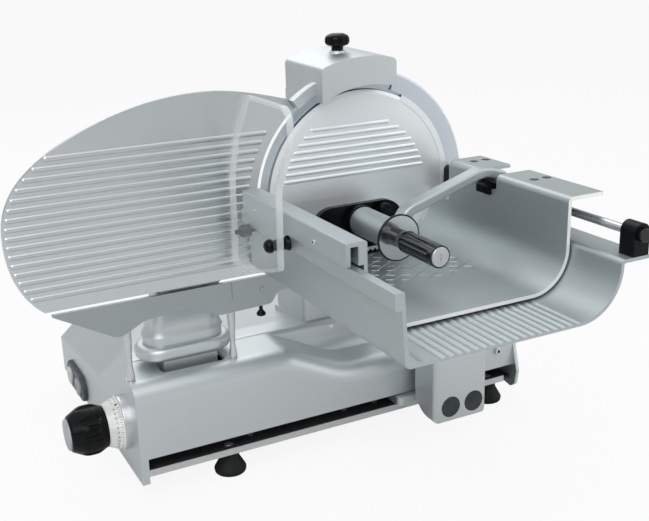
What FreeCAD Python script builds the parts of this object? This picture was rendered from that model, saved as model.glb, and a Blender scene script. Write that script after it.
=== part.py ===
"""Vertical-blade food slicer with a hand-pushed carriage, built from separate pieces.

Units are millimetres. The model is laid out about the blade's centre, with X along the
carriage's travel, Y away from the operator and Z up, and is moved to its own frame when
it is written out: origin on the table under the middle of the machine's box.
"""
import FreeCAD, Part
import math
import os

V = FreeCAD.Vector
AXIS_X = V(1, 0, 0)
AXIS_Y = V(0, 1, 0)
AXIS_Z = V(0, 0, 1)

# ---------------------------------------------------------------- driving dimensions
RUN = 0.06                  # radial clearance of a running fit
GAP = 0.3                   # clearance between pieces that pass each other
SHEET = 5.0                 # plate the trays are bent from

# base casting
BASE_LEFT = -400.0
BASE_RIGHT = 305.0
BASE_FRONT = -20.0
BASE_REAR = 482.0
BASE_TOP = -243.0           # ridge along the front
BASE_LOW = -292.0           # lowered right-hand part of the ridge
BASE_TAIL = -292.0          # top of the casting at its rear edge
BASE_WALL = 6.0
END_WALL = 12.0             # wall left of the front slot
NOSE_THICK = 6.0            # end plate on the right, with its forward nose
NOSE = ((-20.0, -322.0), (-29.5, -357.0, 30.0), (-33.5, -372.0, 8.0), (-28.5, -400.0, 9.0), (-17.0, -408.0, 6.0))
STRIP_RIGHT = 281.0
SKIRT = -405.0              # lower edge of the end and rear walls
FRONT_ROUND = 28.0
RIDGE_BACK = 120.0
STEP_HIGH_X = -141.0
STEP_LOW_X = -38.0
STEP_BACK = 72.0
DISH_ROUND = 26.0
END_FALL = ((20.0, 0.0), (196.0, 64.0), (440.0, 90.0))   # Y, drop of the left end's top edge
END_FALL_WIDTH = 70.0
SLOT_TOP = -363.5
SLOT_BOTTOM = -382.0
RIM_BOTTOM = -393.0
PLATE = 5.0
FLOOR = -430.0              # table the feet stand on
FOOT_R = 26.0
FOOT_NECK_R = 15.0
FEET = ((-250.0, -1.5), (257.0, -2.0), (-258.0, 440.0), (258.0, 440.0))
STUD_R = 5.0

# blade, its cover and its guard ring
BLADE_R = 175.0
BLADE_EDGE_Y = 0.8
BLADE_DISH_Y = 9.5
BLADE_PLATE = 3.5
SPINDLE_R = 12.45
HUB_R = 40.0
HUB_BACK = 19.5
BOLT_CIRCLE_R = 28.0
RING_LAP = 12.0             # how far the guard ring reaches in over the blade
RING_PAST = 16.0            # and out past it
RING_IN = BLADE_R - RING_LAP
RING_OUT = BLADE_R + RING_PAST
RING_WALL = 6.0
RING_DEPTH = 26.0
RING_FRONT = -1.8
RING_LIP = 2.0
RING_START = 70.0           # degrees from +X towards +Z
RING_SWEEP = 190.0
COVER_R = BLADE_R - 16.0
COVER_THICK = 2.8
COVER_BEVEL = 7.0
BEAD_R = BLADE_R - 25.0
RIB_COUNT = 8
RIB_TOP = BLADE_R - 70.0
RIB_PITCH = 10.8
RIB_R = 4.4
RIB_PROUD = 1.5
RIB_LEFT_R = BLADE_R - 41.0
RIB_RIGHT_R = BLADE_R - 59.0
LEDGE_TOP = -4.0
LEDGE_DROP = 14.0

# column behind the blade
COLUMN_HALF = 65.0
COLUMN_FRONT = 90.0
COLUMN_BACK = 196.0
COLUMN_WALL = 6.0
PLINTH_GROW = 6.0
PLINTH_HIGH = 10.0
BOSS_R = 58.0
BEARING_R = 26.0
BEARING_W = 14.0
PULLEY_Y = 112.0
PULLEY_W = 20.0
BLADE_PULLEY_R = 50.0
MOTOR_PULLEY_R = 22.0
BELT = 4.0
MOTOR_Z = -334.0
MOTOR_R = 48.0
MOTOR_FRONT = 150.0
MOTOR_BACK = 310.0
MOTOR_SHAFT_R = 9.0

# gauge plate and what carries it
GAUGE_FACE = 1.0
GAUGE_THICK = 8.0
GAUGE_RIBS = 16
GAUGE_RIB_TOP = 110.0
GAUGE_RIB_PITCH = 13.0
GAUGE_RIB_R = 4.7
GAUGE_RIB_PROUD = 2.0
GAUGE_RIM = 1.5             # plain border left of the ribs
GAUGE_CLEAR = 4.8           # gap between the blade's edge and the plate
GAUGE_ARC_R = BLADE_R + GAUGE_CLEAR
GAUGE_RIB_END_R = GAUGE_ARC_R + 12.0
GAUGE_BOTTOM = -107.0
GAUGE_LEFT = -554.0
GAUGE_WING = ((-510.0, GAUGE_BOTTOM), (-542.0, -64.0), (GAUGE_LEFT, -5.0), (-551.0, 32.0), (-533.0, 71.0),
              (-496.0, 106.0), (-447.0, 135.0), (-390.0, 158.0), (-330.0, 173.0), (-280.0, 178.5),
              (-230.0, 178.0), (-165.0, 167.0))
GAUGE_TIP_Z = 150.0
GAUGE_TRAVEL = 20.0
SUPPORT_X = -292.0
SUPPORT_Y = 64.0
FOOT_PAD_Z = -234.0
GUIDE_Z = -286.0
GUIDE_R = 8.0
GUIDE_SPREAD = 32.0
GUIDE_END = 190.0
HANGER_HALF = 50.0
HANGER_FRONT = 178.0
HANGER_BACK = 192.0
GUARD_TOP = -113.0
GUARD_FRONT = 2.0
GUARD_THICK = 6.0
POST_R = 7.0                # at the guard; the posts are waisted
POST_WAIST_R = 3.9
POST_FOOT_R = 6.2
POST_HIGH = 96.0
POSTS_X = (-393.5, -227.0)

# thickness control on the left end
DIAL_Y = 46.0
DIAL_Z = -323.5
COLLAR_R = 43.0
COLLAR_LONG = 12.0
DIAL_LONG = 22.0
DIAL_FRONT_R = 33.0
KNOB_R = 39.0
KNOB_LONG = 56.0
KNOB_FLUTES = 8
FLUTE_CUT_R = 9.5
FLUTE_CUT = 4.6
SHAFT_R = 7.0
CAM_X = -314.0
CAM_R = 15.0
SWITCH_Y = 358.0
SWITCH_Z = -379.0
SWITCH_LONG = 124.0
SWITCH_HIGH = 50.0
SWITCH_PROUD = 8.0
BUTTON_PROUD = 12.0
BUTTON_R = 16.5
BUTTON_SPREAD = 29.0

# sharpener over the blade
SHARP_LEFT = -82.0
SHARP_RIGHT = 46.0
SHARP_FRONT = -36.0
SHARP_BACK = 96.0
SHARP_IN = BLADE_R - 4.0
SHARP_OUT = BLADE_R + 40.0  # height of the top under the knob
SHARP_CROWN_X = -20.0
SHARP_CROWN_FRONT = (-14.5, -1.5, -8.0)   # top at left, crown and right, from SHARP_OUT
SHARP_CROWN_REAR = (-12.0, 4.0, -4.5)
SHARP_WALL = 6.0
BRACKET_LEFT = -40.0
BRACKET_RIGHT = 4.0
BRACKET_FRONT = 60.0
BRACKET_FOOT = 20.0
SHARP_KNOB_X = -23.0
SHARP_KNOB_Y = 25.0
SHARP_KNOB_R = 19.0
STONE_R = 17.0
STONE_ORBIT = BLADE_R + 13.0
FRONT_STONE_AT = 88.0
REAR_STONE_AT = 104.0

# lower tray of the carriage
TRAY_FRONT = -445.0
TRAY_BACK = -5.0
HOOK_OUT = -208.0
HOOK_TOP = 2.0
HOOK_DEEP = 22.0
HOOK_WIDE = 13.0
WALL_LEAN = 5.5
TRAY_UNDER = -94.0
BEND_X = 66.0
BEND_R = 68.0
FLANGE_TOP = -17.0
FLANGE_OUT = 176.0
FLUTE_PITCH = 12.0
FLUTE_R = 9.0
FLUTE_DEEP = 1.8
FLUTE_FROM = -161.0
COVE_R = 25.0               # hollow along the foot of the left wall

# post, slider and rail under the carriage
STEM_LEFT = 78.0
STEM_RIGHT = 183.0
STEM_FRONT = -100.0
STEM_BACK = -33.0
STEM_TOP = -105.0
STEM_ROUND = 9.0
HEEL_ROUND = 45.0
PLUG_R = 18.5
PLUGS_X = (110.0, 156.0)
PLUG_Z = -367.0
ARM_LEFT = 50.0
ARM_RIGHT = 186.0
ARM_HIGH = 15.5
RAIL_FRONT = 44.0
RAIL_SIDE = 24.0
RAIL_TOP = -357.0
SLIDER_LEFT = 60.0
SLIDER_RIGHT = 178.0

# product tray on top of the lower tray
TRAY_GAP = 3.0
PTRAY_FRONT = -350.0
PTRAY_BACK = -30.0
PTRAY_FLOOR_BACK = -70.0
PTRAY_LEFT = -188.0
PFLANGE_TOP = 46.0
PFLANGE_OUT = 181.0
PTRAY_BEND_R = 18.5
NOTCH_FRONT = -192.0
NOTCH_BACK = -147.0
NOTCH_FLOOR = 22.0
RAILTOP_LEFT = -213.0
RAILTOP_RIGHT = -183.0
RAILTOP_TOP = 34.0
RAILTOP_BOTTOM = 4.0
RAILTOP_FRONT = -340.0
RAILTOP_BACK = -25.0
PADS_Y = (-300.0, -100.0)
PAD_LONG = 36.0
ROD_X = 161.0
ROD_Z = 12.0
ROD_R = 6.0
BUSH_CENTRES = (-98.0, -244.0)
BUSH_LONG = 46.0
BUSH_HALF = 16.0

# product clamp
CLAMP_X = -40.0
CLAMP_Z = -27.0
CLAMP_R = 22.5
CLAMP_FRONT = -178.0
CLAMP_BACK = -76.0
ARM_FRONT = -177.0
ARM_BACK = -153.0
ARM_THICK = 15.0
HUB_FRONT = -186.0
HUB_BACK_Y = -153.0
HUB_OUT_R = 15.0
HUB_BUSH_R = 9.5
GRIPPER_LEFT = -120.0
GRIPPER_RIGHT = 38.0
GRIPPER_TOP = -2.0
GRIPPER_BOTTOM = -73.0
GRIPPER_FRONT = -64.0
GRIPPER_THICK = 8.0
TOOTH_LONG = 9.0
DISC_R = 35.0
GRIP_R = 16.0
GRIP_FRONT = -285.0

# clear hand guard on the left wall
SHIELD_X = -234.0
SHIELD_THICK = 4.0
SHIELD_RIM = 13.0
SHIELD_EDGE = 4.0
SHIELD_OUTLINE = ((-90.0, 183.0, 6.0), (-225.0, 183.0, 22.0), (-226.0, 137.0, 40.0), (-183.0, 70.0, 40.0),
                  (-179.0, -45.0, 10.0), (-63.0, -80.0, 14.0), (-12.0, -77.0, 8.0), (-18.0, 60.0, 30.0),
                  (-42.0, 119.0, 40.0))
SHIELD_REST = (-33.0, -25.0)
SHIELD_SCREW = (-167.5, -10.0)

# ------------------------------------------------------------------ frame of the part
ROD_FRONT = TRAY_FRONT - 7.0
ORIGIN = V(-(GAUGE_LEFT + BASE_RIGHT) / 2.0, -(ROD_FRONT + BASE_REAR) / 2.0, -FLOOR)


# ------------------------------------------------------------------------- helpers
def box(x0, x1, y0, y1, z0, z1):
    return Part.makeBox(x1 - x0, y1 - y0, z1 - z0, V(x0, y0, z0))


def bar_x(radius, x0, x1, y, z):
    return Part.makeCylinder(radius, x1 - x0, V(x0, y, z), AXIS_X)


def bar_y(radius, y0, y1, x, z):
    return Part.makeCylinder(radius, y1 - y0, V(x, y0, z), AXIS_Y)


def bar_z(radius, z0, z1, x, y):
    return Part.makeCylinder(radius, z1 - z0, V(x, y, z0), AXIS_Z)


def at_x(x):
    return lambda u, v: V(x, u, v)


def at_y(y):
    return lambda u, v: V(u, y, v)


def at_z(z):
    return lambda u, v: V(u, v, z)


def rounded_edges(corners, closed, place):
    """Edges through (u, v, radius) corners, with an arc of that radius at each corner."""
    flat = [V(c[0], c[1], 0) for c in corners]
    radii = [c[2] if len(c) > 2 else 0.0 for c in corners]
    count = len(flat)
    stops = []
    for i in range(count):
        here = flat[i]
        at_end = not closed and i in (0, count - 1)
        if radii[i] <= 0 or at_end:
            stops.append((here, None, here))
            continue
        a = (flat[i - 1] - here).normalize()
        b = (flat[(i + 1) % count] - here).normalize()
        half = math.acos(max(-1.0, min(1.0, a.dot(b)))) / 2.0
        cut = radii[i] / math.tan(half)
        bisector = (a + b).normalize()
        middle = here + bisector * (radii[i] / math.sin(half) - radii[i])
        stops.append((here + a * cut, middle, here + b * cut))
    edges = []
    spans = count if closed else count - 1
    for i in range(count):
        start, middle, end = stops[i]
        if middle is not None:
            arc = Part.Arc(place(start.x, start.y), place(middle.x, middle.y), place(end.x, end.y))
            edges.append(arc.toShape())
        if i < spans:
            following = stops[(i + 1) % count][0]
            if (following - end).Length > 1e-6:
                edges.append(Part.makeLine(place(end.x, end.y), place(following.x, following.y)))
    return edges


def face_of(corners, place):
    return Part.Face(Part.Wire(rounded_edges(corners, True, place)))


def prism_x(corners, x0, x1):
    return face_of(corners, at_x(x0)).extrude(V(x1 - x0, 0, 0))


def prism_y(corners, y0, y1):
    return face_of(corners, at_y(y0)).extrude(V(0, y1 - y0, 0))


def prism_z(corners, z0, z1):
    return face_of(corners, at_z(z0)).extrude(V(0, 0, z1 - z0))


def ribbon(path, thick):
    """Closed (u, v, radius) corners of a strip of the given thickness about an open path."""
    points = [V(p[0], p[1], 0) for p in path]
    radii = [p[2] if len(p) > 2 else 0.0 for p in path]
    half = thick / 2.0
    left, right = [], []
    for i, here in enumerate(points):
        before = (here - points[i - 1]).normalize() if i else None
        after = (points[i + 1] - here).normalize() if i + 1 < len(points) else None
        first = before or after
        second = after or before
        normal = (V(-first.y, first.x, 0) + V(-second.y, second.x, 0)).normalize()
        reach = half / normal.dot(V(-first.y, first.x, 0))
        turn = first.x * second.y - first.y * second.x
        inner = max(radii[i] - half, 0.0) if radii[i] else 0.0
        outer = radii[i] + half if radii[i] else 0.0
        near, far = (inner, outer) if turn > 0 else (outer, inner)
        a = here + normal * reach
        b = here - normal * reach
        left.append((a.x, a.y, near))
        right.append((b.x, b.y, far))
    return left + right[::-1]


def turned(profile, centre, axis, sweep=360.0):
    """Solid of revolution of (radius, along, corner radius) corners about a line."""
    side = AXIS_Z if abs(axis.z) < 0.5 else AXIS_X

    def place(radius, along):
        return centre + side * radius + axis * along
    return face_of(profile, place).revolve(centre, axis, sweep)


def stadium(x0, x1, z0, z1, inset=0.0):
    radius = (z1 - z0) / 2.0 - inset
    return [(x0 + inset, z0 + inset, radius * 0.999), (x1 - inset, z0 + inset, radius * 0.999),
            (x1 - inset, z1 - inset, radius * 0.999), (x0 + inset, z1 - inset, radius * 0.999)]


def edges_where(shape, test):
    return [e for e in shape.Edges if test(e.BoundBox)]


def near(a, b, tolerance=0.05):
    return abs(a - b) < tolerance


def spaced(first, last, count):
    return [first + (last - first) * i / (count - 1) for i in range(count)]


def save(name, shape):
    placed = shape.copy()
    placed.translate(ORIGIN)
    placed.exportStep("parts/" + name + ".step")


def group(solids):
    return Part.makeCompound(solids)


# --------------------------------------------------------------------- base casting
def end_fall_tool(inset):
    """Two chamfer planes that let the top fall away towards the left end."""
    slope = END_FALL[1][1] / END_FALL_WIDTH
    reach = 120.0
    planes = []
    for (y0, drop0), (y1, drop1) in zip(END_FALL, END_FALL[1:]):
        run = y1 - y0
        fall = (drop1 - drop0) / run
        if y1 == END_FALL[-1][0]:
            run = BASE_REAR + 20.0 - y0
        z0 = BASE_TOP - drop0 - inset * math.sqrt(1.0 + slope ** 2 + fall ** 2)
        low = z0 - slope * 10.0
        high = z0 + slope * (reach - 10.0)
        wedge = face_of([(BASE_LEFT - 10.0, low), (BASE_LEFT + reach - 10.0, high),
                         (BASE_LEFT - 10.0, high)], at_y(y0))
        planes.append(wedge.extrude(V(0, run, -fall * run)))
    return planes


def housing_form(inset, low):
    """Outside of the casting, drawn in by inset everywhere but below."""
    x0 = BASE_LEFT + inset
    x1 = BASE_RIGHT - inset
    y0 = BASE_FRONT + inset
    y1 = BASE_REAR - inset
    top = BASE_TOP - inset
    lower = BASE_LOW - inset
    back = STEP_BACK + inset
    front = prism_y([(x0, low), (x0, top), (STEP_HIGH_X, top, 40 - inset / 2),
                     (STEP_LOW_X, lower, 110.0), (x1, lower), (x1, low)], y0, back + 5.0)
    rim = edges_where(front, lambda b: near(b.YMin, y0) and near(b.YMax, y0) and b.ZMin > lower - 1.0)
    front = front.makeFillet(FRONT_ROUND - inset, rim)
    toe = lower - 0.6
    rear = prism_x([(back - DISH_ROUND - 8.0, low), (back - DISH_ROUND - 8.0, toe),
                    (back, toe, DISH_ROUND), (back + 5.0, top, 12.0 - inset), (RIDGE_BACK, top, 60.0),
                    (y1, BASE_TAIL - inset, 22.0 - inset), (y1, low)], x0, x1)
    form = front.fuse(rear).removeSplitter()
    return form.cut(end_fall_tool(inset))


def base_housing():
    shell = housing_form(0.0, SKIRT).cut(housing_form(BASE_WALL, SKIRT - 1.0))
    slot = box(BASE_LEFT + END_WALL, BASE_RIGHT - NOSE_THICK, BASE_FRONT - 1.0,
               BASE_FRONT + BASE_WALL + 1.0, SKIRT - 1.0, SLOT_TOP)
    shell = shell.cut(slot)
    nose = prism_x(NOSE + ((BASE_FRONT + 20.0, SKIRT), (BASE_FRONT + 20.0, NOSE[0][1])),
                   BASE_RIGHT - NOSE_THICK, BASE_RIGHT)
    shell = shell.fuse(nose).removeSplitter()
    gauge_gap = prism_z([(SUPPORT_X - 52, SUPPORT_Y - 50, 8), (SUPPORT_X + 52, SUPPORT_Y - 50, 8),
                         (SUPPORT_X + 52, SUPPORT_Y + 66, 8), (SUPPORT_X - 52, SUPPORT_Y + 66, 8)],
                        BASE_TOP - 30.0, BASE_TOP + 10.0)
    belt_way = box(-COLUMN_HALF + 8.0, COLUMN_HALF - 8.0, COLUMN_FRONT + 12.0, COLUMN_BACK - 16.0,
                   BASE_TOP - 30.0, BASE_TOP + 10.0)
    shaft_way = bar_x(SHAFT_R + 1.0, BASE_LEFT - 1.0, BASE_LEFT + BASE_WALL + 1.0, DIAL_Y, DIAL_Z)
    shell = shell.cut(gauge_gap).cut(belt_way).cut(shaft_way)
    for offset in (-BUTTON_SPREAD, BUTTON_SPREAD):
        shell = shell.cut(bar_x(BUTTON_R + GAP, BASE_LEFT - 1.0, BASE_LEFT + BASE_WALL + 1.0,
                                SWITCH_Y + offset, SWITCH_Z))
    return shell


def foot_places():
    return FEET


def base_plate():
    inner_left = BASE_LEFT + BASE_WALL
    inner_right = BASE_RIGHT - BASE_WALL
    plate = box(inner_left, inner_right, BASE_FRONT + BASE_WALL, BASE_REAR - BASE_WALL,
                RIM_BOTTOM, RIM_BOTTOM + PLATE)
    strip = box(BASE_LEFT + END_WALL, STRIP_RIGHT, BASE_FRONT, BASE_FRONT + 10.0,
                RIM_BOTTOM, SLOT_BOTTOM)
    plate = plate.fuse(strip).removeSplitter()
    for x, y in foot_places():
        plate = plate.cut(bar_z(STUD_R, RIM_BOTTOM - 1.0, RIM_BOTTOM + PLATE + 8.0, x, y))
    return plate


def plate_screws():
    top = RIM_BOTTOM + PLATE
    heads = [bar_z(5.0, top, top + 2.5, x, 18.0) for x in (-205.0, -30.0, 30.0, 225.0)]
    stop = turned([(0.0, 0.0), (7.0, 0.0), (7.0, -4.5, 1.5), (0.0, -4.5)], V(265.0, BASE_FRONT, -330.0), AXIS_Y)
    return group(heads + [stop])


def rubber_feet():
    feet = []
    high = RIM_BOTTOM - FLOOR
    for x, y in foot_places():
        profile = [(STUD_R, 6.0), (STUD_R, high), (FOOT_NECK_R, high), (FOOT_NECK_R, high - 10.0, 8.0),
                   (FOOT_R, 7.0, 3.0), (FOOT_R - 1.0, 0.0, 2.5), (0.0, 0.0), (0.0, 6.0)]
        feet.append(turned(profile, V(x, y, FLOOR), AXIS_Z))
    return group(feet)


def foot_studs():
    studs = []
    top = RIM_BOTTOM + PLATE
    for x, y in foot_places():
        nut = Part.Face(Part.makePolygon([V(x + 8.5 * math.cos(a), y + 8.5 * math.sin(a), top)
                                          for a in [math.radians(60 * i) for i in range(7)]]))
        stud = bar_z(STUD_R, FLOOR + 6.0, top + 5.0, x, y)
        studs.append(stud.fuse(nut.extrude(V(0, 0, 4.0))))
    return group(studs)


def guide_rail():
    return box(BASE_LEFT + BASE_WALL, BASE_RIGHT - BASE_WALL, RAIL_FRONT, RAIL_FRONT + RAIL_SIDE,
               RAIL_TOP - RAIL_SIDE, RAIL_TOP)


# ----------------------------------------------------------------- switch and dial
def switch_bezel():
    half = SWITCH_LONG / 2.0
    plate = prism_x(stadium(SWITCH_Y - half, SWITCH_Y + half, SWITCH_Z - SWITCH_HIGH / 2,
                            SWITCH_Z + SWITCH_HIGH / 2), BASE_LEFT - SWITCH_PROUD, BASE_LEFT)
    face = BASE_LEFT - SWITCH_PROUD
    rim = edges_where(plate, lambda b: near(b.XMin, face) and near(b.XMax, face))
    plate = plate.makeFillet(SWITCH_PROUD * 0.5, rim)
    for offset in (-BUTTON_SPREAD, BUTTON_SPREAD):
        plate = plate.cut(bar_x(BUTTON_R + GAP, face - 1.0, BASE_LEFT + 1.0,
                                SWITCH_Y + offset, SWITCH_Z))
    return plate


def push_button(offset):
    profile = [(0.0, -BUTTON_PROUD), (BUTTON_R, -BUTTON_PROUD, 2.0), (BUTTON_R, 2.0), (0.0, 2.0)]
    return turned(profile, V(BASE_LEFT, SWITCH_Y + offset, SWITCH_Z), AXIS_X)


def dial_collar():
    ring = turned([(SHAFT_R + RUN, 0.0), (SHAFT_R + RUN, -COLLAR_LONG), (COLLAR_R, -COLLAR_LONG, 1.5),
                   (COLLAR_R, 0.0)], V(BASE_LEFT, DIAL_Y, DIAL_Z), AXIS_X)
    return ring


def dial_scale():
    back = -COLLAR_LONG - GAP
    front = -COLLAR_LONG - DIAL_LONG
    return turned([(SHAFT_R, back), (SHAFT_R, front), (DIAL_FRONT_R, front), (COLLAR_R - 1.0, back)],
                  V(BASE_LEFT, DIAL_Y, DIAL_Z), AXIS_X)


def thickness_knob():
    back = -COLLAR_LONG - DIAL_LONG
    front = back - KNOB_LONG
    body = turned([(SHAFT_R, back), (KNOB_R - 7.0, back, 2.0), (KNOB_R, back - 16.0, 20.0),
                   (KNOB_R, back - 34.0, 24.0), (KNOB_R - 12.0, front, 6.0), (SHAFT_R, front)],
                  V(BASE_LEFT, DIAL_Y, DIAL_Z), AXIS_X)
    for i in range(KNOB_FLUTES):
        angle = 2.0 * math.pi * i / KNOB_FLUTES
        orbit = KNOB_R + FLUTE_CUT_R - FLUTE_CUT
        y = DIAL_Y + orbit * math.cos(angle)
        z = DIAL_Z + orbit * math.sin(angle)
        x0 = BASE_LEFT + front + 14.0
        x1 = BASE_LEFT + back - 13.0
        flute = bar_x(FLUTE_CUT_R, x0, x1, y, z)
        ends = [Part.makeSphere(FLUTE_CUT_R, V(x, y, z)) for x in (x0, x1)]
        flute = flute.fuse(ends)
        body = body.cut(flute)
    return body


def knob_cap():
    face = -COLLAR_LONG - DIAL_LONG - KNOB_LONG
    return turned([(0.0, face), (0.0, face - 3.0), (KNOB_R - 14.5, face - 3.0, 2.0), (KNOB_R - 14.5, face)],
                  V(BASE_LEFT, DIAL_Y, DIAL_Z), AXIS_X)


def thickness_shaft():
    outer = BASE_LEFT - COLLAR_LONG - DIAL_LONG - KNOB_LONG
    shaft = bar_x(SHAFT_R, outer, CAM_X + 14.0, DIAL_Y, DIAL_Z)
    return shaft.fuse(bar_x(CAM_R, CAM_X - 6.0, CAM_X + 6.0, DIAL_Y, DIAL_Z))


# ----------------------------------------------------------------------- gauge plate
def gauge_outline(place):
    """Wing-shaped outline, concave on the right where it follows the blade."""
    tip = place(-math.sqrt(GAUGE_ARC_R ** 2 - GAUGE_TIP_Z ** 2), GAUGE_TIP_Z)
    low_right = place(-math.sqrt(GAUGE_ARC_R ** 2 - GAUGE_BOTTOM ** 2), GAUGE_BOTTOM)
    wing = Part.BSplineCurve()
    wing.interpolate([place(x, z) for x, z in GAUGE_WING] + [tip])
    return Part.Wire([wing.toShape(),
                      Part.Arc(tip, place(-GAUGE_ARC_R, 0.0), low_right).toShape(),
                      Part.makeLine(low_right, place(*GAUGE_WING[0]))])


def gauge_rib_ends(outline, z):
    """Left and right ends of a rib at height z, one by the wing's edge and one by the blade."""
    line = Part.makeLine(V(2.0 * GAUGE_LEFT, 0, z), V(-GAUGE_RIB_END_R, 0, z))
    left = outline.common(line).BoundBox.XMin + GAUGE_RIM + GAUGE_RIB_R
    right = -math.sqrt(GAUGE_RIB_END_R ** 2 - z ** 2) - GAUGE_RIB_R
    return left, right


def raised_rib(x0, x1, y, z, radius):
    rib = bar_x(radius, x0, x1, y, z)
    return rib.fuse(Part.makeSphere(radius, V(x0, y, z))).fuse(Part.makeSphere(radius, V(x1, y, z)))


def gauge_plate():
    plate = Part.Face(gauge_outline(at_y(GAUGE_FACE))).extrude(V(0, GAUGE_THICK, 0))
    back = GAUGE_FACE + GAUGE_THICK
    outline = Part.Face(gauge_outline(at_y(0.0)))
    ribs = []
    for i in range(GAUGE_RIBS):
        z = GAUGE_RIB_TOP - i * GAUGE_RIB_PITCH
        x0, x1 = gauge_rib_ends(outline, z)
        ribs.append(raised_rib(x0, x1, GAUGE_FACE + GAUGE_RIB_R - GAUGE_RIB_PROUD, z, GAUGE_RIB_R))
    # webs on the back, and the pad the support bolts to
    ribs.append(box(-520.0, -205.0, back, back + 8.0, -66.0, -58.0))
    ribs.append(box(-520.0, -205.0, back, back + 8.0, 58.0, 66.0))
    ribs.append(box(-336.0, -328.0, back, back + 8.0, -100.0, 160.0))
    ribs.append(box(-256.0, -248.0, back, back + 8.0, -100.0, 160.0))
    return plate.fuse(ribs)


def gauge_support():
    """Upright with a domed foot; its stem passes into the base and slides on two rods."""
    def pad(grow_x, grow_y, z0, z1):
        return prism_z([(SUPPORT_X - 78 - grow_x, SUPPORT_Y - 40 - grow_y, 39.9 + grow_y),
                        (SUPPORT_X + 78 + grow_x, SUPPORT_Y - 40 - grow_y, 39.9 + grow_y),
                        (SUPPORT_X + 78 + grow_x, SUPPORT_Y + 40 + grow_y, 39.9 + grow_y),
                        (SUPPORT_X - 78 - grow_x, SUPPORT_Y + 40 + grow_y, 39.9 + grow_y)], z0, z1)
    foot = pad(0.0, 0.0, FOOT_PAD_Z, FOOT_PAD_Z + 24.0)
    ends = edges_where(foot, lambda b: near(b.ZMin, b.ZMax))
    foot = foot.makeFillet(10.0, ends)
    neck = pad(-14.0, -12.0, FOOT_PAD_Z + 20.0, FOOT_PAD_Z + 40.0)

    def ring(half_x, half_y, y, z):
        radius = half_y * 0.98
        return Part.Wire(rounded_edges([(SUPPORT_X - half_x, y - half_y, radius),
                                        (SUPPORT_X + half_x, y - half_y, radius),
                                        (SUPPORT_X + half_x, y + half_y, radius),
                                        (SUPPORT_X - half_x, y + half_y, radius)], True, at_z(z)))
    z = FOOT_PAD_Z + 38.0
    dome = Part.makeLoft([ring(66.0, 30.0, SUPPORT_Y, z), ring(60.0, 25.0, SUPPORT_Y - 1.0, z + 14.0),
                          ring(56.0, 23.0, SUPPORT_Y - 10.0, z + 36.0),
                          ring(54.0, 22.0, SUPPORT_Y - 26.0, z + 90.0)], True)
    back = GAUGE_FACE + GAUGE_THICK + 8.0
    upright = prism_y([(SUPPORT_X - 54, z + 80, 8), (SUPPORT_X + 54, z + 80, 8),
                       (SUPPORT_X + 54, 40, 12), (SUPPORT_X - 54, 40, 12)], back, back + 44.0)
    stem = box(SUPPORT_X - 44, SUPPORT_X + 44, SUPPORT_Y - 34, SUPPORT_Y + 34,
               GUIDE_Z - 22.0, FOOT_PAD_Z + 6.0)
    carrier = box(SUPPORT_X - 50, SUPPORT_X + 50, SUPPORT_Y - 42, SUPPORT_Y + 42,
                  GUIDE_Z - 22.0, BASE_TOP - 16.0)
    whole = foot.fuse([neck, dome, upright, stem, carrier])
    for side in (-GUIDE_SPREAD, GUIDE_SPREAD):
        whole = whole.cut(bar_y(GUIDE_R + RUN, SUPPORT_Y - 60, SUPPORT_Y + 60, SUPPORT_X + side, GUIDE_Z))
    return whole


def gauge_guides():
    """Two slide rods and the hanger that holds their rear ends."""
    rods = [bar_y(GUIDE_R, BASE_FRONT + BASE_WALL, GUIDE_END, SUPPORT_X + side, GUIDE_Z)
            for side in (-GUIDE_SPREAD, GUIDE_SPREAD)]
    hanger = box(SUPPORT_X - HANGER_HALF, SUPPORT_X + HANGER_HALF, HANGER_FRONT, HANGER_BACK,
                 GUIDE_Z - 2.0 * GUIDE_R, BASE_TOP - GUIDE_R)
    hanger = hanger.common(housing_form(BASE_WALL, SKIRT))
    for rod in rods:
        hanger = hanger.cut(rod)
    return group(rods + [hanger])


def lower_guard():
    edge_r = GAUGE_ARC_R + 1.0
    top_x = -math.sqrt(edge_r ** 2 - GUARD_TOP ** 2)
    low_z = -141.0
    low_x = -math.sqrt(edge_r ** 2 - low_z ** 2)
    outline = [(-506.0, GUARD_TOP, 2.0), (-408.0, -168.0, 22.0), (-366.0, -147.0, 40.0),
               (-292.0, -143.0, 60.0), (-252.0, -163.5, 24.0), (-163.0, -161.0, 10.0),
               (-150.0, -143.0, 8.0), (low_x - 6.0, low_z), (low_x + 20.0, low_z), (top_x + 60.0, GUARD_TOP)]
    plate = prism_y(outline, GUARD_FRONT, GUARD_FRONT + GUARD_THICK)
    return plate.cut(bar_y(edge_r, GUARD_FRONT - 1.0, GUARD_FRONT + GUARD_THICK + 1.0, 0.0, 0.0))


def guard_posts():
    y = GUARD_FRONT + GUARD_THICK + POST_R
    profile = [(0.0, 0.0), (POST_FOOT_R, 0.0, 1.0), (POST_FOOT_R, 6.0, 5.0), (POST_WAIST_R, 24.0, 40.0),
               (POST_R, POST_HIGH - 14.0, 60.0), (POST_R, POST_HIGH, 2.0), (0.0, POST_HIGH)]
    return group([turned(profile, V(x, y, BASE_TOP), AXIS_Z) for x in POSTS_X])


def guard_cover():
    plate = prism_y([(-228.0, -147.0, 9.0), (-154.0, -142.0, 9.0), (-154.0, GUARD_TOP, 2.0),
                     (-228.0, GUARD_TOP, 2.0)], GUARD_FRONT - 1.5, GUARD_FRONT)
    screw = turned([(0.0, -1.5), (4.5, -1.5), (4.5, -2.8, 1.0), (0.0, -2.8)],
                   V(-178.0, GUARD_FRONT, -134.0), AXIS_Y)
    return plate.fuse(screw)


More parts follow.
